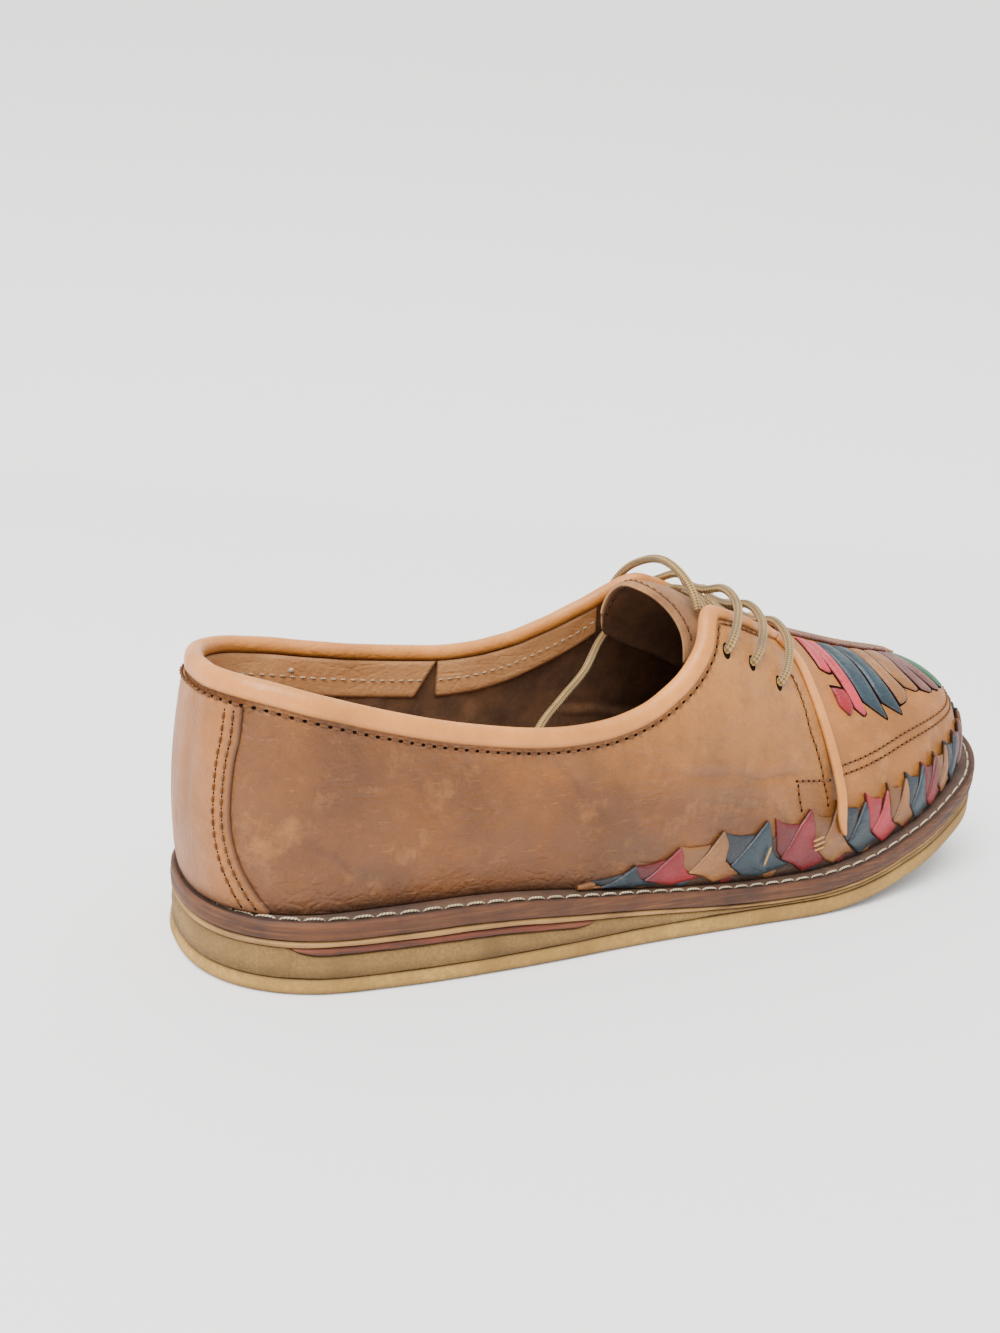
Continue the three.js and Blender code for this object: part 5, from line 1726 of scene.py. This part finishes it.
def tongue_end(angle):
    """Where the tongue's free end lies: cut back towards the toe on its outer side."""
    return TONGUE["along"][0] + 7.5 * smooth(-angle, 0.1, 1.2)


def add_tongue():
    angle = TONGUE_SPREAD * np.linspace(-1, 1, 57)[None]
    end = tongue_end(angle)
    x = end + (TONGUE["along"][-1] - end) * np.linspace(0, 1, 70)[:, None] ** 1.15
    from_end = np.minimum(x - end, (TONGUE_SPREAD - np.abs(angle)) * 16)
    edge = 1 - np.sqrt(np.clip(from_end / 0.9, 0, 1))
    outer = on_tongue(x, angle, -0.55 * edge)
    inner = on_tongue(x, angle, -TONGUE_THICKNESS + 0.5 * edge)
    points, faces, parts = sheet_solid(outer, inner)
    # Painted shade on the top, growing towards the front under the laces and the vamp, and on the lining
    # side.
    shade = np.concatenate([(0.55 * smooth(x, 6, 30)).ravel(), (0.25 + 0.3 * smooth(x, -6, 12)).ravel()])
    piece = Piece("suede_tongue")
    piece.add(points, faces, parts, place=points, shade=shade)
    piece.build([TONGUE_SUEDE, LINING, TONGUE_RIM], "tongue", ["tongue"])
    rim_angle = np.linspace(-1.15, 1.15, 120)
    reach_x = tongue_end(rim_angle) + 2.6
    above, under = (on_tongue(reach_x, rim_angle, lift) for lift in (0.0, -TONGUE_THICKNESS))
    stitches, holes = Piece("tongue_stitches"), Piece("tongue_holes")
    for face, back in ((above, under), (under, above)):
        point, normal = resample(face, 160, unit(face - back))
        add_stitches(stitches, holes, point, unit(normal), 2.7, 1.8, 0.3)
    stitches.build([SEAM_THREAD], "tongue")
    holes.build([HOLE_AND_SLIT_SHADE], "tongue")


add_tongue()

# ------------------------------------------------------------------ eyelets and laces

# Each pair of eyelets: its place along, and how far out it lies on the outer and inner side.
EYELETS = [(5.6, 29.7, 24.0), (17.3, 29.3, 24.0), (29.9, 29.5, 24.5)]
LACE_SPREAD = 29.5
# A crossing lace from its eyelet up to the crest: how far forward, inward and up it lies.
CROSSING = [
    (0, 0, -2.6), (0.0, 0.0, 0.4), (1.5, 1.5, 1.9), (4.5, 4.5, 2.6), (7.5, 8.5, 3.5), (9.5, 12, 3.8),
    (10.5, 16, 3.8), (11, 19.5, 3.0), (11, 22, 1.2), (11, 24.5, -0.3)]


def above_last(x, reach_out, sign, lift):
    """A point over the upper at a distance out from its middle, and the normal there."""
    u = station_at(x)
    t = at_reach(sign, u, reach_out)
    return on_last(sign, u, t, lift), last_normal(sign, u, t)


def add_laces():
    for i, (x, lateral, medial) in enumerate(EYELETS):
        half = {}
        for sign, reach_out in ((LATERAL, lateral), (MEDIAL, medial)):
            half[sign] = [
                above_last(x + forward, reach_out * (1 - inward / LACE_SPREAD), sign, lift)[0]
                for forward, inward, lift in CROSSING]
        path = smooth_path(np.array(half[LATERAL] + half[MEDIAL][::-1]), 0.8)
        piece = Piece(f"lace_crossing_{i + 1}")
        points, faces, place = cord_part(path, LACE_RADIUS, 16)
        piece.add(points, faces, place=place)
        piece.build([LACE], "lace", [f"lace_bar_{i + 1}"])
    add_lace_underruns()


def add_lace_underruns():
    """The laces' runs over the tongue and under the facings, from each eyelet to the next."""
    under = Piece("lace_underruns")
    for (x, *_), (x_next, *_) in zip(EYELETS[:-1], EYELETS[1:]):
        for sign in (LATERAL, MEDIAL):
            angle = np.linspace(-1.25, 1.25, 15) * -sign
            run = np.linspace(x + 1, x_next + 4, 15)
            path = smooth_path(on_tongue(run, angle, 2.0 if sign > 0 else 1.5), 0.9)
            points, faces, place = cord_part(path, LACE_RADIUS * 0.95, 12, taper=1.0)
            under.add(points, faces, place=place)
    under.build([LACE], "lace")


# An eyelet's half width and half height, and the rings of its rim: their size and height.
EYELET = (1.65, 2.6)
EYELET_RINGS = ((1.0, -0.5), (1.0, 0.02), (0.9, 0.1), (0.75, 0.06))


def add_eyelets():
    """Punched holes, stretched downwards by the lace: near-black discs as painted shade for their
    insides.
    """
    cups = Piece("eyelet_holes")
    turn = np.linspace(0, 2 * np.pi, 28, endpoint=False)[:, None]
    for x, lateral, medial in EYELETS:
        for sign, reach_out in ((LATERAL, lateral), (MEDIAL, medial)):
            centre, up = above_last(x - 0.3, reach_out + 0.3, sign, 0.0)
            centre = centre + up * (0.8 * slack(centre) + 0.02)
            ahead = unit(np.cross(up, [0, 1.0, 0.3]))
            side = np.cross(up, ahead)
            ring = np.cos(turn) * ahead * EYELET[0] + np.sin(turn) * side * EYELET[1]
            points, faces = swept(np.array([centre + ring * r + up * h for r, h in EYELET_RINGS]))
            cups.add(points, faces)
    cups.build([HOLE_AND_SLIT_SHADE], "upper")


add_laces()
add_eyelets()

# ------------------------------------------------------------------ inside

LINING_WIDTH = 12.5


def lining_strip(piece, stitches, sign, low_x, high_x, slants):
    """A strip of lining leather along the inside of the collar. Its ends move along the last by
    the two slants on their way down."""
    r = np.linspace(0, 1, 11)
    s = np.linspace(0, 1, 150)[:, None]
    low = station_at(low_x + slants[0] * r)
    high = station_at(high_x + slants[1] * r)
    u = low + (high - low) * s
    top = top_edge(sign, u)
    steep = np.linalg.norm(last_point(sign, u, top) - last_point(sign, u, top - 0.02), axis=-1) / 0.02
    t = top - LINING_WIDTH * r / steep
    outer = on_last(sign, u, t, -WALL - 0.9 + 0.5 * smooth(r, 0.93, 1.0))
    inner = on_last(sign, u, t, -WALL + 0.3)
    points, faces, _ = sheet_solid(outer, inner)
    # Painted shade along both long edges, at the second strip's heelward end where it meets the first,
    # and over the back face.
    shade = np.maximum(0.5 * smooth(r, 0.93, 1.0), 0.4 * smooth(1 - r, 0.9, 1.0)) + 0.0 * u
    if low_x > PAST_HEEL:
        shade = np.maximum(shade, 0.8 * smooth(1 - s, 0.99, 1.0))
    shade = np.concatenate([shade.ravel(), np.full(shade.size, 0.7)])
    piece.add(points, faces, place=points, shade=shade)
    row = len(r) // 2
    line, normal = resample(outer[:, row], 260, -last_normal(sign, u[:, row], t[:, row]))
    add_stitches(stitches, None, line, unit(normal), 3.0, 1.7, 0.24, lift=-0.05)


def add_linings():
    piece, stitches = Piece("collar_lining_strips"), Piece("lining_stitches")
    for sign in (LATERAL, MEDIAL):
        lining_strip(piece, stitches, sign, PAST_HEEL, -63.0, (0.0, -6.0))
        lining_strip(piece, stitches, sign, -62.4, -6, (1.0, 3.0))
    add_knot(stitches, (-107, 31.4, 66.9))
    piece.build([STRIP], "upper")
    stitches.build([WHITE_THREAD], "upper")


def add_knot(stitches, place):
    """A knot of white thread on the inner side's lining."""
    u, t = nearest(MEDIAL, np.array([place]))
    centre, up = on_last(MEDIAL, u, t, -WALL - 1.1)[0], -last_normal(MEDIAL, u, t)[0]
    turn = np.linspace(0, 2 * np.pi, 12, endpoint=False)
    ahead = unit(np.cross(up, [0, 0, 1.0]))
    ring = np.cos(turn)[:, None] * ahead + np.sin(turn)[:, None] * np.cross(up, ahead)
    rings = ((0.7, -0.3), (0.7, 0.1), (0.4, 0.25))
    points, faces = swept(np.array([centre + ring * r + up * h for r, h in rings]))
    stitches.add(points, faces)


add_linings()
